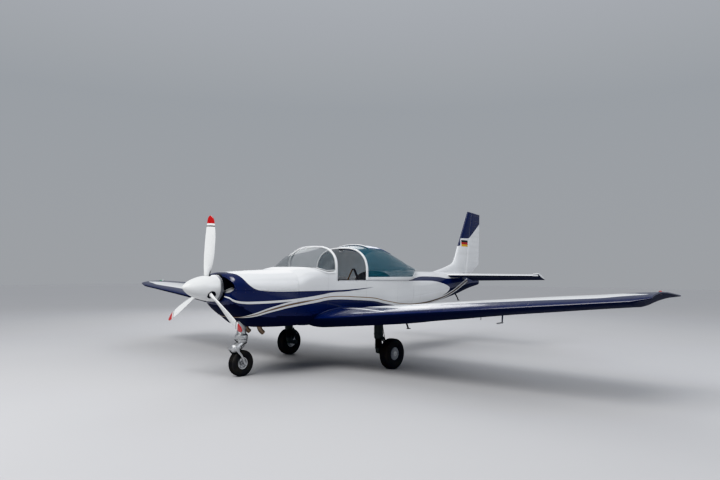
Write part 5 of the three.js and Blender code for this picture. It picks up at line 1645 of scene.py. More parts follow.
# ---------------------------------------------------------------- propeller
HUB = Vector((0, -3.405, 1.2))
TILT = Matrix.Translation(HUB) @ Matrix.Rotation(math.radians(-2.2), 4, "X")
SHAFT = (0, 1, 0)
profile = [
    (-0.3452, 0.0), (-0.343, 0.008), (-0.339, 0.016), (-0.318, 0.038), (-0.270, 0.076), (-0.200, 0.112),
    (-0.110, 0.143), (0.0, 0.165), (0.080, 0.173), (0.1417, 0.176),
]
SILVER = (0.72, 0.73, 0.73)
PAINT_SPINNER = painted("paint_spinner", SILVER)
spinner_at = smooth_table(profile[1:])
SKIRT = 0.109
outer = [(-0.3452, 0.0), (-0.3445, 0.0035)] + [(y, float(spinner_at(y)[0])) for y in np.linspace(-0.343, SKIRT, 60)]
inner = [(y, max(float(spinner_at(y)[0]) - 0.005, 0.0)) for y in np.linspace(SKIRT, -0.330, 30)]
spinner = lathe("spinner_skin", outer + inner + [(-0.330, 0.0)], (0, 0, 0), SHAFT, PAINT_SPINNER, 96)
BLADE_TURNS = [math.radians(3) + k * 2 * math.pi / 3 for k in range(3)]


def outward(a):
    """The way out from the hub's axis at an angle from straight up."""
    return Vector((math.sin(a), 0, math.cos(a)))


for a in BLADE_TURNS:
    cut(spinner, [tube("c", [outward(a) * 0.06, outward(a) * 0.26], 0.056, None, 48)])
moved(bevelled(spinner, 0.0015, 2, 50), TILT)
place(spinner, "propeller", "spinner", 35)
plate = [
    (0.142, 0.05), (0.142, 0.168), (0.1105, 0.168), (0.1105, 0.1742), (0.1125, 0.1760), (0.1395, 0.1768),
    (0.1410, 0.1748),
]
plate += [(0.1435, 0.1742), (0.1450, 0.1768), (0.1545, 0.1770), (0.1568, 0.1755), (0.158, 0.172), (0.158, 0.05)]
plate = [lathe("p", plate, (0, 0, 0), SHAFT, RING_METAL, 96, closed=True)]
for k in range(18):
    way = outward(math.radians(10 + 20 * k))
    plate.append(stud(way * 0.1762 + Vector((0, 0.126, 0)), way, 0.0042, 0.0009, CHROME))
place(moved(joined("spinner_ring", plate), TILT), "propeller", "spinner_backplate", 40)
parts = [lathe(
    "h", [(-0.070, 0.0), (-0.070, 0.052), (-0.060, 0.064), (0.130, 0.064), (0.1412, 0.056), (0.1412, 0.0)], (0, 0, 0),
    SHAFT, CAST, 56,
)]
clamp = [
    (0.0, 0.0), (0.0, 0.044), (0.070, 0.044), (0.073, 0.047), (0.098, 0.047), (0.101, 0.044), (0.1045, 0.0425),
    (0.1045, 0.0),
]
bolt = [(-0.03, 0), (-0.03, 0.006), (0.03, 0.006), (0.03, 0)]
for way in map(outward, BLADE_TURNS):
    parts.append(lathe("c", clamp, (0, 0, 0), way, CAST, 40))
    for s in (1, -1):
        parts.append(lathe("b", bolt, way * 0.085 + Vector((s * way.z, 0, -s * way.x)) * 0.044, SHAFT, STEEL, 6))
place(moved(joined("propeller_hub_body", parts), TILT), "propeller", "propeller_hub", 40)

# radius, chord, thickness, pitch, sweep of the centre line
BLADE = smooth_table([
    (0.105, 0.070, 0.070, 60, 0), (0.190, 0.080, 0.050, 50, 0), (0.300, 0.114, 0.026, 40, 0.004),
    (0.460, 0.141, 0.018, 32, 0.006), (0.640, 0.146, 0.013, 26, 0.004), (0.800, 0.126, 0.010, 22, -0.004),
    (0.900, 0.096, 0.008, 20, -0.014), (0.943, 0.044, 0.006, 19, -0.024),
])
BLADE_FOIL = smooth_table([
    (0.0, 0.0, 0.0), (math.sqrt(0.1), 0.5, -0.38), (math.sqrt(0.4), 0.62, -0.45), (math.sqrt(0.75), 0.45, -0.35),
    (1.0, 0.0, 0.0),
])


def blade_look():
    look = Look("blade_paint", WHITE, 0.3, Coat_Weight=0.2)
    x, _, z = look.xyz()
    radius = look.length(x, z - HUB.z)
    front = look.xyz("Normal")[1].under(0.0, 0.08)
    color = look.mix(front, (0.02, 0.02, 0.022), SILVER)
    color = look.mix(radius.over(0.842, 0.001), color, (0.42, 0.012, 0.012))
    for low, high, band in ((0.815, 0.842, SILVER), (0.800, 0.815, (0.03, 0.02, 0.022)), (0.785, 0.800, SILVER)):
        color = look.mix(radius.between(low, high, 0.001), color, band)
    color = look.mix(radius.under(0.150, 0.001), color, (0.09, 0.09, 0.095))
    chips = look.noise(90.0, 4).over(0.72, 0.02) * radius.over(0.4, 0.2) * 0.6
    color = look.mix(chips, color, (0.30, 0.30, 0.31))
    look.put("Base Color", look.tone(color, look.noise(8.0, 4), 0.93, 1.04))
    look.roughness(40.0, 0.18, 0.2)
    look.bump(look.noise(300.0, 2), 0.00006, 0.6)
    return look.mat


PAINT_BLADE = blade_look()


def blade_ring(r):
    chord, thick, pitch, sweep = BLADE(r)
    end = 1 - min(1.0, max(0.0, (r - 0.900) / 0.043)) ** 2.5
    chord *= 0.35 + 0.65 * math.sqrt(max(end, 0.0))
    mix = float(np.clip((r - 0.14) / 0.12, 0, 1))
    mix = mix * mix * (3 - 2 * mix)
    p = math.radians(pitch)
    ring = []
    for i in range(28):
        a = i / 28 * 2 * math.pi
        c = -math.cos(a) / 2
        up, down = BLADE_FOIL(math.sqrt(c + 0.5))
        foil_face = (up if math.sin(a) >= 0 else down) * thick
        along = c * chord + sweep * mix
        face = 0.5 * thick * math.sin(a) * (1 - mix) + foil_face * mix
        ring.append(Vector((along * math.cos(p) + face * math.sin(p), along * math.sin(p) - face * math.cos(p), r)))
    return ring


blade_rings = [blade_ring(r) for r in (*np.linspace(0.105, 0.90, 34), 0.912, 0.922, 0.930, 0.936, 0.940, 0.943)]
for k, a in enumerate(BLADE_TURNS, 1):
    blade = moved(solid(f"blade_skin_{k}", blade_rings, PAINT_BLADE), TILT @ Matrix.Rotation(a, 4, "Y"))
    place(blade, "propeller", f"blade_{k}", 45)


# ---------------------------------------------------------------- wheels
def tyre(name, radius, width, rim_r, at, body, node, grooves):
    h = width / 2
    side = [
        (-h * 0.58, rim_r - 0.001), (-h * 0.70, rim_r + 0.004), (-h * 0.93, rim_r + (radius - rim_r) * 0.28),
        (-h, rim_r + (radius - rim_r) * 0.52), (-h * 0.955, rim_r + (radius - rim_r) * 0.74),
        (-h * 0.82, radius * 0.955), (-h * 0.62, radius * 0.988),
    ]
    curve = smooth_path([(a, b, 0) for a, b in side], 5)
    profile = [(p.x, p.y) for p in curve]
    crown = []
    edges = np.linspace(-0.58, 0.58, grooves * 2 + 2) * h
    deep = 0.006
    for i, e in enumerate(edges):
        r = radius - 0.0018 * (abs(e) / (h * 0.58)) ** 2 * 3
        before, after = (r, r - deep) if i % 2 else (r - deep, r)
        if i:
            crown.append((e - 0.0006, before))
        crown.append((e + 0.0006, after))
    profile += crown
    profile += [(-a, b) for a, b in profile[: len(curve)][::-1]]
    profile += [(h * 0.4, rim_r - 0.004), (-h * 0.4, rim_r - 0.004)]
    obj = lathe(name, profile, at, (1, 0, 0), TYRE_RUBBER, 112, closed=True)
    return place(obj, body, node, 28)


def rim_profile(width, rim_r, bore):
    h = width / 2
    return [
        (-h * 0.60, bore), (-h * 0.60, bore + 0.018), (-h * 0.52, bore + 0.022), (-h * 0.24, bore + 0.026),
        (-h * 0.20, bore + 0.030), (-h * 0.20, rim_r - 0.020), (-h * 0.28, rim_r - 0.014), (-h * 0.60, rim_r - 0.011),
        (-h * 0.66, rim_r - 0.006), (-h * 0.66, rim_r + 0.004), (-h * 0.60, rim_r + 0.003), (-h * 0.56, rim_r - 0.003),
    ]


def bolt_ring(count, radius, at, x, r, length, mat, axis=(1, 0, 0), phase=0.0):
    out = []
    for k in range(count):
        a = phase + 2 * math.pi * k / count
        c = Vector(at) + Vector((x, math.cos(a) * radius, math.sin(a) * radius))
        out.append(lathe("b", [(0, 0), (0, r), (length * 0.7, r), (length, r * 0.7), (length, 0)], c, axis, mat, 6))
    return out


MAIN_HUB = Vector((1.128, -0.920, 0.222))


def main_hub(side):
    return Vector((side * MAIN_HUB.x, MAIN_HUB.y, MAIN_HUB.z))


def both_halves(half):
    """A rim's whole outline from its left half."""
    return half + [(-a, b) for a, b in half[::-1]]


for label, side in SIDES:
    hub = main_hub(side)
    body = f"main_wheel_{label}"
    tyre(f"tyre_main_{label}", 0.222, 0.158, 0.094, hub, body, f"main_tyre_{label}", 4)
    parts = [lathe("r", both_halves(rim_profile(0.158, 0.094, 0.0206)), hub, (1, 0, 0), CAST, 72, closed=True)]
    cover = [
        (0.0, 0.0212), (0.0, 0.088), (0.0026, 0.0925), (0.0050, 0.0918), (0.0066, 0.0885), (0.0080, 0.070),
        (0.0088, 0.034), (0.0088, 0.0212),
    ]
    parts.append(lathe("d", cover, hub + Vector((side * 0.0515, 0, 0)), (side, 0, 0), GREY_TRIM, 88, closed=True))
    cap = [(0.0, 0.0206), (0.0, 0.035), (0.0035, 0.0345), (0.0052, 0.031), (0.0052, 0.0206)]
    parts.append(lathe("c", cap, hub + Vector((side * 0.0600, 0, 0)), (side, 0, 0), CAST, 48, closed=True))
    parts += bolt_ring(4, 0.0735, hub, side * 0.0588, 0.0050, 0.0032, STEEL, (side, 0, 0), math.radians(45))
    for s in (1, -1):
        parts.append(slab(
            "l", hub + Vector((side * 0.0596, s * 0.062, 0)), (0, 1, 0), (0, 0, 1), (0.046, 0.0016, 0.0012), BLACK
        ))
    disc = [
        (0.0, 0.0206), (0.0, 0.044), (0.0035, 0.046), (0.0035, 0.0725), (0.0042, 0.0735), (0.0092, 0.0735),
        (0.0100, 0.0725), (0.0100, 0.046), (0.030, 0.044), (0.036, 0.040), (0.036, 0.0206),
    ]
    parts.append(lathe("b", disc, hub - Vector((side * 0.0925, 0, 0)), (side, 0, 0), STEEL, 72, closed=True))
    place(joined(f"rim_main_{label}", parts), body, f"main_rim_{label}", 35)

NOSE_HUB = Vector((0, -2.820, 0.176))
tyre("tyre_nose", 0.176, 0.128, 0.079, NOSE_HUB, "nose_wheel", "nose_tyre", 3)
half = [
    (-0.0400, 0.0146), (-0.0400, 0.0240), (-0.0375, 0.0262), (-0.0200, 0.0280), (-0.0130, 0.0305), (-0.0120, 0.0330)
]
half += [
    (-0.0120, 0.0545), (-0.0150, 0.0585), (-0.0340, 0.0625), (-0.0400, 0.0655), (-0.0422, 0.0700), (-0.0422, 0.0825),
    (-0.0385, 0.0825), (-0.0358, 0.0760),
]
wheel = lathe("r", both_halves(half), NOSE_HUB, (1, 0, 0), CAST, 96, closed=True)
cutters = []
for k in range(5):
    middle = math.radians(90 + 72 * k)
    outline = []
    for r, spread in ((0.0545, 21), (0.0520, 24.5), (0.0350, 24.0), (0.0318, 19)):
        sweep_angles = np.radians(np.linspace(-spread, spread, 9))
        if r in (0.0520, 0.0350):
            sweep_angles = [math.radians(spread)]
        elif r < 0.04:
            sweep_angles = sweep_angles[::-1]
        outline += [
            (NOSE_HUB.y + r * math.cos(middle + a), NOSE_HUB.z + r * math.sin(middle + a)) for a in sweep_angles
        ]
    for r, spread in ((0.0350, 24.0), (0.0520, 24.5)):
        a = middle - math.radians(spread)
        outline.append((NOSE_HUB.y + r * math.cos(a), NOSE_HUB.z + r * math.sin(a)))
    cutters.append(prism("c", outline, 0, -0.03, 0.03))
cut(wheel, cutters)
parts = [wheel]
for s in (1, -1):
    parts += bolt_ring(10, 0.0672, NOSE_HUB, s * 0.0385, 0.0030, 0.005, STEEL, (s, 0, 0), 0.1)
place(joined("rim_nose", parts), "nose_wheel", "nose_rim", 35)


# ---------------------------------------------------------------- landing gear
def gaiter(x, y, z0, z1, small, large, folds, mat):
    """A rubber bellows round a sliding leg."""
    profile = [(0.0, 0.0)]
    for k in range(folds * 2 + 1):
        profile.append(((z1 - z0) * k / (folds * 2), large if k % 2 else small))
    profile.append((z1 - z0, 0.0))
    return lathe("g", profile, (x, y, z0), (0, 0, 1), mat, 48)


LEG_X, LEG_Y = 0.985, -1.060


def pin(at, half, r, mat=STEEL):
    return lathe(
        "p", [(-half, 0.0), (-half, r * 0.8), (0.002 - half, r), (half - 0.002, r), (half, r * 0.8), (half, 0.0)], at,
        (1, 0, 0), mat, 24,
    )


for label, side in SIDES:
    x, y = side * LEG_X, LEG_Y
    hub = main_hub(side)
    barrel = [
        (0.0, 0.0), (0.0, 0.052), (0.005, 0.060), (0.012, 0.065), (0.060, 0.0665), (0.063, 0.070), (0.078, 0.070),
        (0.081, 0.0665), (0.24, 0.067), (0.37, 0.069), (0.375, 0.0),
    ]
    parts = [
        lathe("a", barrel, (x, y, 0.440), (0, 0, 1), LEG_GREY, 64),
        gaiter(x, y, 0.304, 0.442, 0.0455, 0.0545, 7, TRIM_RUBBER),
        lathe(
            "b",
            [
                (0.0, 0.0), (0.0, 0.036), (0.006, 0.042), (0.050, 0.044), (0.060, 0.050), (0.078, 0.050),
                (0.082, 0.046), (0.082, 0.0),
            ],
            (x, y, 0.232), (0, 0, 1), LEG_GREY, 48,
        ),
        tube("c", [(x, y, 0.262), (x, -0.99, 0.240), (x, MAIN_HUB.y, MAIN_HUB.z)], [0.040, 0.034, 0.034], LEG_GREY, 32),
        tube(
            "d", [(x - side * 0.036, MAIN_HUB.y, MAIN_HUB.z), (side * (MAIN_HUB.x + 0.064), MAIN_HUB.y, MAIN_HUB.z)],
            0.0195, STEEL, 32,
        ),
        lathe(
            "n", [(0.0, 0.0), (0.0, 0.013), (0.006, 0.011), (0.0065, 0.0)], hub + Vector((side * 0.063, 0, 0)),
            (side, 0, 0), STEEL, 6,
        ),
        tube(
            "e", [(x - side * 0.038, MAIN_HUB.y, MAIN_HUB.z), (x + side * 0.036, MAIN_HUB.y, MAIN_HUB.z)], 0.036,
            LEG_GREY, 40,
        ),
        lathe(
            "f", [(0.0, 0.0), (0.0, 0.074), (0.004, 0.080), (0.030, 0.080), (0.045, 0.0)], (x, y, 0.668), (0, 0, 1),
            LEG_GREY, 56,
        ),
    ]
    # torque link behind the leg: an upper and a lower arm, and their pins
    top, knee, foot = Vector((x, -0.990, 0.470)), Vector((x, -0.902, 0.372)), Vector((x, -0.975, 0.270))
    for s in (1, -1):
        parts.append(flat_bar(
            "u", [top + Vector((s * 0.020, 0, 0)), knee + Vector((s * 0.020, 0, 0))], [0.036, 0.022], 0.009, (1, 0, 0),
            LEG_GREY,
        ))
        parts.append(flat_bar(
            "v", [knee + Vector((s * 0.009, 0, 0)), foot + Vector((s * 0.009, 0, 0))], [0.022, 0.034], 0.009, (1, 0, 0),
            LEG_GREY,
        ))
    parts += [pin(top, 0.030, 0.012), pin(knee, 0.032, 0.009), pin(foot, 0.026, 0.012)]
    parts.append(flat_bar("w", [top + Vector((0, -0.045, 0.006)), top], [0.040, 0.030], 0.030, (1, 0, 0), LEG_GREY))
    # brake caliper astride the disc, its mount and hose
    x0, x1 = sorted((side * 1.018, side * 1.0585))
    caliper = bevelled(box("k", x0, x1, MAIN_HUB.y - 0.036, MAIN_HUB.y + 0.036, 0.266, 0.316, CAST), 0.005, 2)
    x0, x1 = sorted((side * 1.0300, side * 1.0515))
    cut(caliper, [box("c", x0, x1, -1.2, -0.6, 0.2, 0.3025)])
    x0, x1 = sorted((side * 1.018, side * 1.0275))
    parts += [
        caliper,
        bevelled(box("m", x0, x1, MAIN_HUB.y - 0.022, MAIN_HUB.y + 0.022, MAIN_HUB.z, 0.275, LEG_GREY), 0.003, 2),
    ]
    for s in (1, -1):
        parts.append(lathe(
            "q", [(0, 0), (0, 0.006), (0.005, 0.006), (0.005, 0)], (side * 1.0185, MAIN_HUB.y + s * 0.024, 0.296),
            (-side, 0, 0), STEEL, 6,
        ))
    hose = [
        (x + side * 0.050, -1.030, 0.660), (x + side * 0.060, -1.020, 0.560), (x + side * 0.062, -0.985, 0.430),
        (x + side * 0.050, -0.940, 0.360), (side * 1.026, -0.915, 0.314),
    ]
    parts.append(tube("h", hose, 0.0048, TRIM_RUBBER, 12))
    place(joined(f"main_strut_{label}", parts), "airframe", f"main_leg_{label}", 35)

ny = NOSE_HUB.y
barrel = [
    (0.0, 0.0), (0.0, 0.076), (0.003, 0.083), (0.010, 0.087), (0.048, 0.088), (0.056, 0.084), (0.062, 0.076),
    (0.078, 0.066), (0.16, 0.061), (0.4, 0.060), (0.4, 0.0),
]
parts = [lathe("a", barrel, (0, ny, 0.500), (0, 0, 1), CAST, 72)]
for k in range(8):
    a = 2 * math.pi * (k + 0.5) / 8
    way = Vector((math.cos(a), math.sin(a), 0))
    parts.append(stud(Vector((0, ny, 0.526)) + way * 0.0874, way, 0.0055, 0.003, STEEL, 6))
for s in (1, -1):
    parts.append(tube("s", [(s * 0.030, ny + 0.06, 0.905), (s * 0.2, FIREWALL_Y - 0.009, 0.780)], 0.016, STEEL, 20))
parts.append(bevelled(box("g", -0.060, 0.060, ny - 0.07, ny + 0.12, 0.880, 0.930, STEEL), 0.008, 3))
place(joined("nose_barrel", parts), "airframe", "nose_leg", 35)

PIVOT = Vector((0, -2.942, 0.374))
collar = [
    (0.0, 0.0), (0.0, 0.064), (0.005, 0.071), (0.024, 0.077), (0.044, 0.0835), (0.052, 0.084), (0.0560, 0.081),
    (0.0575, 0.076), (0.0575, 0.0),
]
head = [
    (0.0, 0.0), (0.0, 0.060), (0.050, 0.068), (0.100, 0.068), (0.130, 0.066), (0.150, 0.060), (0.170, 0.046),
    (0.182, 0.028), (0.187, 0.0),
]
parts = [
    lathe("a", collar, (0, ny, 0.442), (0, 0, 1), CAST, 72),
    lathe("b", head, (0, -2.815, 0.447), (0, -0.859, -0.511), CAST, 64, smooth=3),
    pin(PIVOT, 0.090, 0.025, CAST),
    pin(NOSE_HUB, 0.100, 0.0138),
]
for s in (1, -1):
    route = [
        (-2.945, 0.366), (-2.925, 0.335), (-2.885, 0.292), (-2.856, 0.248), (-2.838, 0.212), (NOSE_HUB.y, NOSE_HUB.z)
    ]
    parts.append(flat_bar(
        "m", [(s * 0.092, y, z) for y, z in route], [0.040, 0.035, 0.031, 0.029, 0.029, 0.030], 0.0155, (1, 0, 0), CAST
    ))
    for at, r in ((PIVOT + Vector((0, -0.003, -0.004)), 0.024), (NOSE_HUB, 0.0205)):
        boss = [(0.0, 0.0), (0.0, r - 0.002), (0.002, r), (0.0145, r), (0.0165, r - 0.002), (0.0165, 0.0)]
        parts.append(lathe("o", boss, at + Vector((s * 0.0838, 0, 0)), (s, 0, 0), CAST, 40))
    parts.append(lathe(
        "n", [(0.0, 0.0), (0.0, 0.0150), (0.007, 0.0150), (0.009, 0.013), (0.009, 0.0)],
        NOSE_HUB + Vector((s * 0.1002, 0, 0)), (s, 0, 0), STEEL, 6,
    ))
lines = [
    [
        (-0.040, -2.900, 0.492), (0.005, -2.906, 0.475), (0.036, -2.903, 0.456), (0.068, -2.877, 0.410),
        (0.060, -2.862, 0.386), (0.060, -2.888, 0.366), (0.060, -2.915, 0.352),
    ],
    [(0.080, -2.787, 0.454), (0.085, -2.833, 0.440), (0.073, -2.865, 0.419)],
]
for route in lines:
    parts.append(tube("k", route, 0.0055, TRIM_RUBBER, 14))
parts.append(tube(
    "k", [(-0.034, ny + 0.062, 0.462), (-0.062, PIVOT.y + 0.024, PIVOT.z - 0.006)], 0.008, TRIM_RUBBER, 16
))
place(joined("nose_fork_casting", parts), "nose_steering", "nose_fork", 35)

# exhaust stubs, boarding steps and tail bumper
for label, side in SIDES:
    route = [(EXHAUST_Y, 0.860), (-2.641, 0.730), (-2.634, 0.654), (-2.604, 0.607), (-2.568, 0.578)]
    route = [(side * EXHAUST_X, y, z) for y, z in route]
    pipe = hollow_tube(f"exhaust_pipe_{label}", route, 0.0325, 0.0022, HOT_STEEL, 40, 8)
    place(pipe, "airframe", f"exhaust_{label}", 40)
    route = [
        (0.455, 0.152, 0.815), (0.505, 0.163, 0.745), (0.553, 0.176, 0.645), (0.583, 0.196, 0.560),
        (0.600, 0.215, 0.484),
    ]
    rod = tube("r", [(side * a, b, c) for a, b, c in route], 0.0145, BLACK, 24, 8)
    x0, x1 = sorted((side * 0.580, side * 0.622))
    pad = bevelled(box("p", x0, x1, 0.190, 0.262, 0.471, 0.482, BLACK), 0.004, 3)
    treads = [
        box("t", x0 + 0.005, x1 - 0.005, y, y + 0.004, 0.480, 0.4840, TRIM_RUBBER)
        for y in np.arange(0.228, 0.258, 0.008)
    ]
    flange = lathe(
        "f", [(-0.02, 0.0), (-0.02, 0.024), (0.004, 0.024), (0.007, 0.018), (0.007, 0.0)], (side * 0.468, 0.155, 0.798),
        (side * 0.62, 0.1, -0.78), BLACK, 32,
    )
    place(
        joined(f"boarding_step_{label}", [rod, pad, flange, *treads]), "airframe", f"entry_step_{label}",
        40,
    )
parts = [
    tube("t", [(0, 2.690, 1.010), (0, 2.765, 0.945), (0, 2.832, 0.866)], [0.0145, 0.0125, 0.0115], BLACK, 24, 8),
    bevelled(box("s", -0.014, 0.014, 2.812, 2.862, 0.852, 0.865, TRIM_RUBBER), 0.005, 3),
]
place(joined("tail_skid", parts), "airframe", "tail_bumper", 40)
lamp = lathe(
    "tail_lamp", [(-0.004, 0.0), (-0.004, 0.016), (0.004, 0.016), (0.012, 0.012), (0.016, 0.006), (0.017, 0.0)],
    (0, 3.652, 1.240), (0, 1, 0), LENS_CLEAR, 28,
)
place(lamp, "airframe", (), 50)

# frame nodes that stay as they are, under their own finishes
for node, finish in (
    ("cabin_floor", CARPET), ("rear_bulkhead", SIDE_CLOTH), ("firewall", ZINC), ("engine_mount", ENGINE_BLACK)
):
    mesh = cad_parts[node].data
    mesh.materials.clear()
    mesh.materials.append(finish)


# ---------------------------------------------------------------- cockpit
FLOOR_TOP, SEAT_X = 0.7603, 0.252
BEZEL = plastic("bezel_black", (0.012, 0.012, 0.013), 0.35, 900.0, 0.0001)
DIAL_FACE = plastic("dial_face", (0.008, 0.008, 0.009), 0.30, 400.0, 0.00005)
DIAL_MARK = plastic("dial_mark", (0.75, 0.75, 0.72), 0.5, 400.0, 0.00005)
KNOB_RED = plastic("knob_red", (0.42, 0.015, 0.012), 0.4, 400.0, 0.0001)
KNOB_BLUE = plastic("knob_blue", (0.012, 0.05, 0.28), 0.4, 400.0, 0.0001)
SCREEN = plastic("display_dark", (0.012, 0.022, 0.018), 0.12, 200.0, 0.00002)
STRAP_BROWN = cloth("strap_brown", (0.055, 0.035, 0.022), (0.12, 0.08, 0.05), 0.001)
PANEL_FACE = -1.776


def dial(x, z, r, hands, count=11):
    """A round instrument facing aft: bezel, dark face, marks and hands."""
    at = Vector((x, PANEL_FACE, z))
    parts = [
        lathe(
            "b",
            [
                (0.0, r * 0.82), (0.0, r * 1.07), (0.004, r * 1.07), (0.0058, r * 0.99), (0.0058, r * 0.90),
                (0.0030, r * 0.82),
            ],
            at, (0, 1, 0), BEZEL, 36, closed=True,
        ),
        lathe("f", [(0, 0), (0, r * 0.86), (0.0022, r * 0.86), (0.0022, 0)], at, (0, 1, 0), DIAL_FACE, 36),
    ]
    for k in range(count):
        a = math.radians(-150 + 300 * k / (count - 1))
        way = Vector((-math.sin(a), 0, math.cos(a)))
        size = 0.22 if k % 2 == 0 else 0.13
        parts.append(slab(
            "m", at + way * r * 0.70 + Vector((0, 0.0024, 0)), way, (0, 1, 0), (r * size, 0.0006, r * 0.035), DIAL_MARK
        ))
    for a in hands:
        a = math.radians(a)
        way = Vector((-math.sin(a), 0, math.cos(a)))
        parts.append(slab(
            "h", at + way * r * 0.25 + Vector((0, 0.0032, 0)), way, (0, 1, 0), (r * 0.80, 0.0006, r * 0.055), DIAL_MARK
        ))
    parts.append(lathe("k", [(0, 0), (0, r * 0.09), (0.0045, r * 0.09), (0.0045, 0)], at, (0, 1, 0), BEZEL, 14))
    return parts


def radio(x, z, w, h):
    parts = [
        bevelled(
            box("r", x - w / 2, x + w / 2, PANEL_FACE - 0.002, PANEL_FACE + 0.006, z - h / 2, z + h / 2, BEZEL), 0.002,
            2,
        ),
        box("s", x - w * 0.30, x + w * 0.30, PANEL_FACE, PANEL_FACE + 0.0068, z - h * 0.22, z + h * 0.26, SCREEN),
    ]
    for s in (-1, 1):
        parts.append(lathe(
            "k", [(0, 0), (0, 0.0075), (0.012, 0.0068), (0.014, 0.0055), (0.014, 0)],
            (x + s * w * 0.41, PANEL_FACE + 0.004, z), (0, 1, 0), BLACK, 20,
        ))
    return parts


edge = [(hull_x(PANEL_FACE, z) - SKIN - 0.003, z) for z in np.linspace(1.19, 1.418, 8)]
board = [(0.16, 1.19), *edge]
board = [*board, *[(-x, z) for x, z in board[::-1]], (-0.13, 1.124), (0.13, 1.124)]
parts = [prism("p", board, 1, PANEL_FACE - 0.006, PANEL_FACE, PANEL_BLACK, 0.0015)]
for x, z, hands in (
    (0.150, 1.356, (40,)), (0.235, 1.356, (90, -90)), (0.320, 1.356, (-60, 130)), (0.150, 1.266, (10,)),
    (0.235, 1.266, (0, 60)), (0.320, 1.266, (-90,)),
):
    parts += dial(x, z, 0.037, hands)
for i, x in enumerate((-0.155, -0.230, -0.305)):
    parts += dial(x, 1.362, 0.030, (-70 + 50 * i,), count=9)
    parts += dial(x, 1.290, 0.030, (30 - 45 * i,), count=9)
for x in (0.395, 0.44):
    parts += dial(x, 1.330, 0.019, (-30,), count=7)
for i in range(4):
    parts += radio(0.0, 1.382 - i * 0.046, 0.165, 0.040)
for i in range(9):
    x = 0.06 + i * 0.032
    parts.append(lathe(
        "n", [(0, 0), (0, 0.006), (0.003, 0.0055), (0.004, 0)], (x, PANEL_FACE, 1.208), (0, 1, 0), STEEL, 12
    ))
    parts.append(tube(
        "t", [(x, PANEL_FACE, 1.208), (x, PANEL_FACE + 0.013, 1.204 if i % 3 else 1.213)], [0.0024, 0.0032], STEEL, 10,
        smooth=False,
    ))
parts.append(bevelled(box("g", -0.36, -0.13, PANEL_FACE, PANEL_FACE + 0.004, 1.195, 1.245, GREY_TRIM), 0.003, 2))
for s in (-1, 1):
    for x in (0.05, 0.46):
        parts.append(stud(
            Vector((s * x, PANEL_FACE, 1.412 if x > 0.1 else 1.135)), Vector((0, 1, 0)), 0.004, 0.0018, STEEL
        ))
# glareshield: padded cover from the windshield's foot to its rolled edge over the dials
cover = []
for i in range(13):
    u = i / 12
    row = []
    for j in range(41):
        v = -0.69 + 1.38 * j / 40
        foot = shield_base(v)
        low = Vector((foot.x * 0.955, foot.y + 0.022, foot.z - 0.026))
        aft = Vector((foot.x * 0.955, -1.742, 1.4305))
        p = low.lerp(aft, u)
        p.z += 0.006 * math.sin(math.pi * u) * math.cos(v * HALF_PI)
        row.append(p)
    cover.append(row)
parts.append(thick_sheet("c", cover, 0.010, SHIELD_CLOTH))
parts.append(tube("e", [(x, -1.741, 1.4255) for x in np.linspace(-0.475, 0.475, 15)], 0.0095, SHIELD_CLOTH, 16))
place(joined("instrument_board", parts), "airframe", "instrument_panel", 35)

for label, side in SIDES:
    x = side * SEAT_X
    parts = [
        lathe(
            "b",
            [
                (0, 0.0), (0, 0.052), (0.008, 0.052), (0.014, 0.044), (0.022, 0.046), (0.030, 0.036), (0.038, 0.038),
                (0.046, 0.028), (0.054, 0.029), (0.066, 0.017), (0.080, 0.0145), (0.082, 0.0),
            ],
            (x, -1.340, FLOOR_TOP), (0, -0.08, 1), TRIM_RUBBER, 36,
        ),
        tube(
            "t", [(x, -1.342, 0.800), (x, -1.356, 0.870), (x, -1.374, 0.950), (x, -1.381, 1.012)], 0.0115, LEG_GREY, 24
        ),
        lathe(
            "g",
            [
                (0, 0), (0, 0.0150), (0.006, 0.0175), (0.030, 0.0165), (0.042, 0.0175), (0.058, 0.0160),
                (0.074, 0.0175), (0.090, 0.0165), (0.104, 0.0200), (0.110, 0.0185), (0.114, 0.012), (0.115, 0),
            ],
            (x, -1.380, 1.000), (0, -0.125, 1), BLACK, 32,
        ),
        lathe(
            "k", [(0, 0), (0, 0.005), (0.004, 0.0045), (0.005, 0)], (x, -1.3935, 1.114), (0, -0.125, 1), KNOB_RED, 16
        ),
        slab("s", (x, -1.409, 1.075), (0, -0.125, 1), (1, 0, 0), (0.026, 0.009, 0.010), BLACK, 0.003),
    ]
    place(joined(f"stick_{label}", parts), "airframe", f"control_stick_{label}", 35)

parts = [bevelled(box("c", -0.034, 0.034, -1.770, -1.250, FLOOR_TOP, 0.958, GREY_TRIM), 0.008, 3)]
parts.append(bevelled(box("q", -0.026, 0.026, -1.690, -1.540, 0.950, 0.9625, BLACK), 0.003, 2))
for i, mat in enumerate((BLACK, KNOB_BLUE, KNOB_RED)):
    x = -0.016 + 0.016 * i
    parts.append(tube(
        "l", [(x, -1.625 + 0.012 * i, 0.955), (x, -1.640 + 0.012 * i, 1.015)], 0.0028, STEEL, 10, smooth=False
    ))
    parts.append(lathe(
        "k", [(0, 0), (0, 0.006), (0.004, 0.0095), (0.013, 0.0105), (0.019, 0.007), (0.020, 0)],
        (x, -1.638 + 0.012 * i, 1.010), (0, -0.2, 1), mat, 20,
    ))
parts.append(lathe(
    "w", [(-0.009, 0), (-0.009, 0.040), (-0.007, 0.043), (0.007, 0.043), (0.009, 0.040), (0.009, 0)],
    (0, -1.420, 0.935), (1, 0, 0), TRIM_RUBBER, 40,
))
place(joined("console", parts), "airframe", "centre_console", 35)

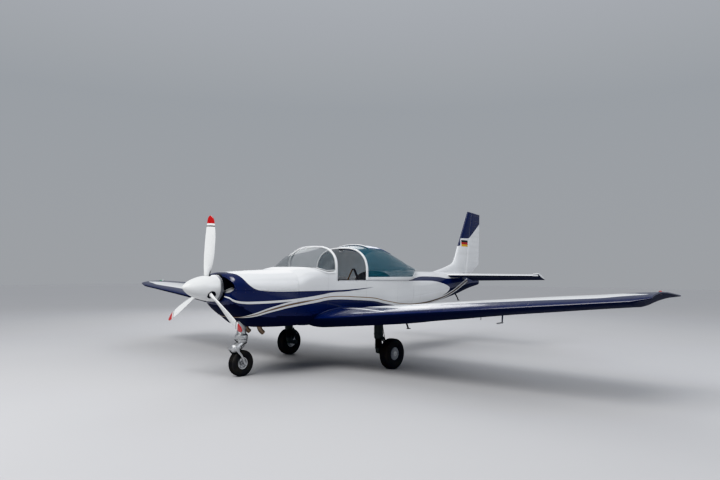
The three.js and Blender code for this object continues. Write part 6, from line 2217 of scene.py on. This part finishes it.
# rudder pedals
parts = []
for x in (-0.335, -0.170, 0.170, 0.335):
    parts.append(slab("p", (x, -2.035, 0.925), (1, 0, 0), (0, 0.30, 1), (0.085, 0.115, 0.010), CAST, 0.004))
    parts.append(tube("a", [(x, -2.028, 0.885), (x, -2.045, 0.82), (x, -2.050, 0.7605)], 0.008, LEG_GREY, 12))
parts.append(tube("b", [(-0.40, -2.052, 0.790), (0.40, -2.052, 0.790)], 0.011, LEG_GREY, 16))
place(joined("rudder_pedals", parts), "airframe")

# side linings, sill trims and slide rails
for label, side in SIDES:
    rows = []
    for z in np.linspace(0.80, 1.262, 12):
        pad = 0.004 * (1 if 0.86 < z < 1.22 else 0)
        rows.append([Vector((side * (hull_x(y, z) - SKIN - 0.011 - pad), y, z)) for y in np.linspace(-1.74, -0.06, 40)])
    lining = new_object("l", *grid(rows, around=False), SIDE_CLOTH)
    m = lining.modifiers.new("wall", "SOLIDIFY")
    m.thickness, m.offset = 0.008, 0
    place(recalc(bake(lining)), "airframe")
    lining.name = f"side_lining_{label}"
    ys = np.linspace(-1.462, -0.03, 40)
    path = [Vector((side * (hull_x(y, 1.28) - SKIN - 0.008), y, 1.275)) for y in ys]
    trim = sweep("t", path, [Vector((side, 0, 0))] * 40, [Vector((0, 0, 1))] * 40, pill(0.013, 0.040, 16, 3), BLACK)
    trim.name = f"sill_trim_{label}"
    place(trim, "airframe")
    ys = np.linspace(-1.440, 0.400, 50)
    path = [
        Vector((side * (hull_x(min(y, 0.0), 1.289) - 0.013 - 0.066 * max(0.0, y / 0.4) ** 1.3), y, 1.2957)) for y in ys
    ]
    bar = [
        (-0.0065, -0.0055), (0.0065, -0.0055), (0.0065, 0.0055), (0.003, 0.0055), (0.003, 0.0015), (-0.003, 0.0015),
        (-0.003, 0.0055), (-0.0065, 0.0055),
    ]
    rail = sweep(f"slide_rail_{label}", path, [Vector((1, 0, 0))] * 50, [Vector((0, 0, 1))] * 50, bar, ALUMINIUM)
    place(rail, "airframe", f"canopy_rail_{label}", 25)


# ---------------------------------------------------------------- seats
def stuffed(blank, limit):
    """Padded fabric: the blank remeshed, blown up by a cloth simulation, each point's way capped, then smoothed."""
    quick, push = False, 4.0
    m = blank.modifiers.new("even", "REMESH")
    m.mode, m.voxel_size = "VOXEL", 0.012 if quick else 0.006
    bake(blank)
    if not quick:
        start = np.array([v.co for v in blank.data.vertices])
        cloth_mod = blank.modifiers.new("Cloth", "CLOTH")
        settings = cloth_mod.settings
        settings.quality = 5
        settings.use_pressure = True
        settings.uniform_pressure_force = push
        settings.effector_weights.gravity = 0
        for frame_number in range(1, 21):
            bpy.context.scene.frame_set(frame_number)
        bake(blank)
        bpy.context.scene.frame_set(1)
        end = np.array([v.co for v in blank.data.vertices])
        way = end - start
        way *= np.minimum(1, limit / np.maximum(np.linalg.norm(way, axis=1, keepdims=True), 1e-9))
        blank.data.vertices.foreach_set("co", (start + way).ravel())
    m = blank.modifiers.new("soft", "SMOOTH")
    m.factor, m.iterations = 0.5, 1 if quick else 4
    m = blank.modifiers.new("fine", "SUBSURF")
    m.levels = m.render_levels = 0 if quick else 1
    return bake(blank)


def channel(obj, axis, where, half, depth, facing):
    """A sewn groove across the padding, on the faces that look along facing."""
    facing = Vector(facing).normalized()
    for v in obj.data.vertices:
        d = abs(v.co[axis] - where) / half
        look_at = v.normal.dot(facing)
        if d < 1 and look_at > 0.35:
            v.co -= v.normal * depth * (1 - d * d) ** 2 * min(1, (look_at - 0.35) * 3)
    return obj


def strap(points, width, tree):
    """Flat webbing laid on a surface."""
    lift, thick = 0.0035, 0.0025
    path, ups = [], []
    for p in smooth_path(points):
        hit = tree.find_nearest(p)
        if hit[0] is not None and hit[3] < 0.05:
            path.append(hit[0] + hit[1] * lift)
            ups.append(hit[1])
        else:
            path.append(p)
            ups.append(ups[-1] if ups else Vector((0, 0, 1)))
    for _ in range(3):
        path = [path[0], *[(a + b * 2 + c) / 4 for a, b, c in zip(path, path[1:], path[2:])], path[-1]]
        ups = [ups[0], *[((a + b * 2 + c) / 4).normalized() for a, b, c in zip(ups, ups[1:], ups[2:])], ups[-1]]
    return sweep("b", path, sideways(path, ups), ups, pill(width, thick), WEBBING)


def quilted(pad, axis, where, facing):
    """Two grooves along the pad and one across it, on the face that looks along facing."""
    for x in (-0.065, 0.065):
        channel(pad, 0, x, 0.011, 0.007, facing)
    return channel(pad, axis, where, 0.011, 0.005, facing)


def seat_pads():
    """One seat's cushion and back about x = 0."""
    blank = bevelled(box("s", -0.190, 0.190, -1.162, -0.735, 0.838, 0.886), 0.018, 3)
    bottom = quilted(stuffed(blank, 0.024), 1, -0.80, (0, 0, 1))
    outline = [(-0.783, 0.912), (-0.712, 0.912), (-0.590, 1.262), (-0.650, 1.274)]
    blank = prism("b", outline, 0, -0.188, 0.188, None, 0.018)
    back = quilted(stuffed(blank, 0.024), 2, 1.10, (0, -1, 0.3))
    for pad in (bottom, back):
        pad.data.materials.clear()
        pad.data.materials.append(SEAT_CLOTH)
    return [bottom, back]


def seat_shell():
    parts = [
        bevelled(box("p", -0.198, 0.198, -1.165, -0.735, 0.822, 0.842, BLACK), 0.008, 3),
        bevelled(box("q", -0.150, 0.150, -1.145, -0.745, 0.7605, 0.772, LEG_GREY), 0.003, 2),
    ]
    shell = [(-0.725, 0.842), (-0.664, 0.880), (-0.553, 1.266), (-0.572, 1.270), (-0.690, 0.893), (-0.745, 0.852)]
    parts.append(prism("r", shell, 0, -0.186, 0.186, BLACK, 0.004))
    for s in (-1, 1):
        parts.append(tube(
            "l", [(s * 0.135, -1.10, 0.772), (s * 0.135, -1.09, 0.800), (s * 0.135, -1.075, 0.824)], 0.010, LEG_GREY, 14
        ))
        parts.append(tube(
            "l", [(s * 0.135, -0.80, 0.772), (s * 0.135, -0.80, 0.824)], 0.010, LEG_GREY, 14, smooth=False
        ))
        parts.append(tube(
            "e",
            [
                (s * 0.192, -0.735, 0.850), (s * 0.192, -0.650, 1.000), (s * 0.192, -0.580, 1.235),
                (s * 0.150, -0.566, 1.272), (0, -0.563, 1.277),
            ],
            0.0085, LEG_GREY, 14,
        ))
    return parts


pads = joined("pads", seat_pads())
shell_parts = joined("shell", seat_shell())
tree = surface_of(pads)
LAP_BELT = [(0.196, -0.790, 0.870), (0.185, -0.800, 0.915), (0.12, -0.870, 0.935), (0.03, -0.930, 0.935)]
SHOULDER_BELT = [
    (0.075, -0.600, 1.292), (0.075, -0.665, 1.275), (0.072, -0.700, 1.15), (0.060, -0.750, 1.02),
    (0.045, -0.800, 0.94), (0.030, -0.900, 0.935),
]
belts = [strap([(s * x, y, z) for x, y, z in LAP_BELT], 0.046, tree) for s in (-1, 1)]
belts += [strap([(s * x, y, z) for x, y, z in SHOULDER_BELT], 0.044, tree) for s in (1, -1)]
hit = tree.find_nearest(Vector((0, -0.935, 0.93)))
buckle_at = hit[0] + hit[1] * 0.009
belts.append(slab("k", buckle_at, (1, 0, 0), (0, 1, 0), (0.072, 0.056, 0.014), CHROME, 0.004))
belts.append(lathe(
    "k", [(0.0, 0), (0.0, 0.018), (0.004, 0.017), (0.005, 0)], buckle_at + Vector((0, 0, 0.006)), (0, 0, 1), KNOB_RED,
    24,
))
belts = joined("belts", belts)
for label, side in SIDES:
    shift = Matrix.Translation((side * SEAT_X, 0, 0))
    for source, name, slot_name in (
        (pads, "seat_padding", "seat_fabric"), (shell_parts, "seat_frame", "bare_steel"),
        (belts, "seat_belts", "seat_fabric"),
    ):
        copy = moved(linked(f"{name}_{label}", source.data.copy()), shift)
        place(copy, "airframe", f"seat_{label}" if source is pads else (), 50)
for source in (pads, shell_parts, belts):
    bpy.data.meshes.remove(source.data)

# shoulder harness guide between the seats: two straps up to a bracket on the centre line
parts = []
for width, mat, foot_x, mid_x, top_x in (
    (0.045, WEBBING, 0.300, 0.152, 0.034), (0.024, STRAP_BROWN, -0.262, -0.116, -0.002),
):
    high_x = (mid_x + top_x) / 2
    route = [(foot_x, -0.583, 1.120), (mid_x, -0.552, 1.278), (high_x, -0.545, 1.378), (top_x, -0.540, 1.476)]
    path = smooth_path(route, 6)
    ups = [Vector((0, 1, 0.1)).normalized()] * len(path)
    parts.append(sweep("s", path, sideways(path, ups), ups, pill(width, 0.008), mat))
parts.append(slab("t", (0.016, -0.540, 1.478), (1, 0, 0), (0, 0, 1), (0.062, 0.016, 0.014), BLACK, 0.004))
place(joined("harness_guide", parts), "airframe", (), 40)


# ---------------------------------------------------------------- stage, light and camera
def stage_floor():
    look = Look("floor", (0.46, 0.46, 0.46), 0.85)
    look.put("Base Color", look.tone((0.46, 0.46, 0.47), look.noise(0.6, 3), 0.98, 1.02))
    size = 60
    obj = new_object(
        "floor", [(-size, -size, 0), (size, -size, 0), (size, size, 0), (-size, size, 0)], [(0, 1, 2, 3)], look.mat
    )


def area_light(name, at, to, size, power_w, color=(1, 1, 1)):
    data = bpy.data.lights.new(name, "AREA")
    data.shape, data.size, data.energy, data.color = "DISK", size, power_w, color
    obj = linked(name, data)
    obj.location = at
    obj.rotation_euler = (Vector(to) - Vector(at)).to_track_quat("-Z", "Y").to_euler()


stage_floor()
area_light("key", (0.5, -10.0, 9.0), (0.3, -1.0, 0.9), 8.0, 900, (1.0, 0.985, 0.96))
area_light("fill", (11.0, 2.5, 6.0), (0, 0, 1.0), 8.0, 330, (0.95, 0.97, 1.0))
area_light("back", (-8.0, 7.0, 7.5), (0, 0.5, 1.0), 8.0, 420)
sun = bpy.data.lights.new("sky", "SUN")
sun.energy, sun.angle = 0.9, math.radians(28)
sky = linked("sky", sun)
sky.rotation_euler = (-Vector((0.15, -0.55, 0.82))).to_track_quat("-Z", "Y").to_euler()


def studio_world():
    """A pale room: even at the horizon, brighter overhead."""
    world = bpy.data.worlds.new("studio")
    world.use_nodes = True
    nodes, links = world.node_tree.nodes, world.node_tree.links
    coordinates = nodes.new("ShaderNodeTexCoord")
    parts = nodes.new("ShaderNodeSeparateXYZ")
    links.new(coordinates.outputs["Generated"], parts.inputs[0])
    ramp = nodes.new("ShaderNodeValToRGB")
    ramp.color_ramp.elements[0].position, ramp.color_ramp.elements[0].color = 0.0, (0.52, 0.54, 0.57, 1)
    ramp.color_ramp.elements[1].position, ramp.color_ramp.elements[1].color = 1.0, (0.92, 0.95, 1.0, 1)
    middle = ramp.color_ramp.elements.new(0.28)
    middle.color = (0.50, 0.53, 0.57, 1)
    links.new(parts.outputs[2], ramp.inputs[0])
    links.new(ramp.outputs[0], nodes["Background"].inputs["Color"])
    nodes["Background"].inputs["Strength"].default_value = 0.72
    bpy.context.scene.world = world


studio_world()
bpy.context.scene.view_settings.view_transform = "Khronos PBR Neutral"
bpy.context.scene.view_settings.look = "None"
bpy.context.scene.view_settings.exposure = 0.0

EYE = Vector((6.386, -7.746, 1.391))
RIGHT = Vector((0.75687, 0.65353, 0.00659))
AHEAD = Vector((-0.65268, 0.75528, 0.05965))
camera_data = bpy.data.cameras.new("camera")
camera_data.sensor_width = 36.0
camera_data.lens = 28.69
camera_data.clip_end = 200
camera = linked("camera", camera_data)
down = AHEAD.cross(RIGHT).normalized()
right = down.cross(AHEAD).normalized()
camera.matrix_world = Matrix.Translation(EYE) @ Matrix((right, -down, -AHEAD)).transposed().to_4x4()
bpy.context.scene.camera = camera

bpy.context.view_layer.update()
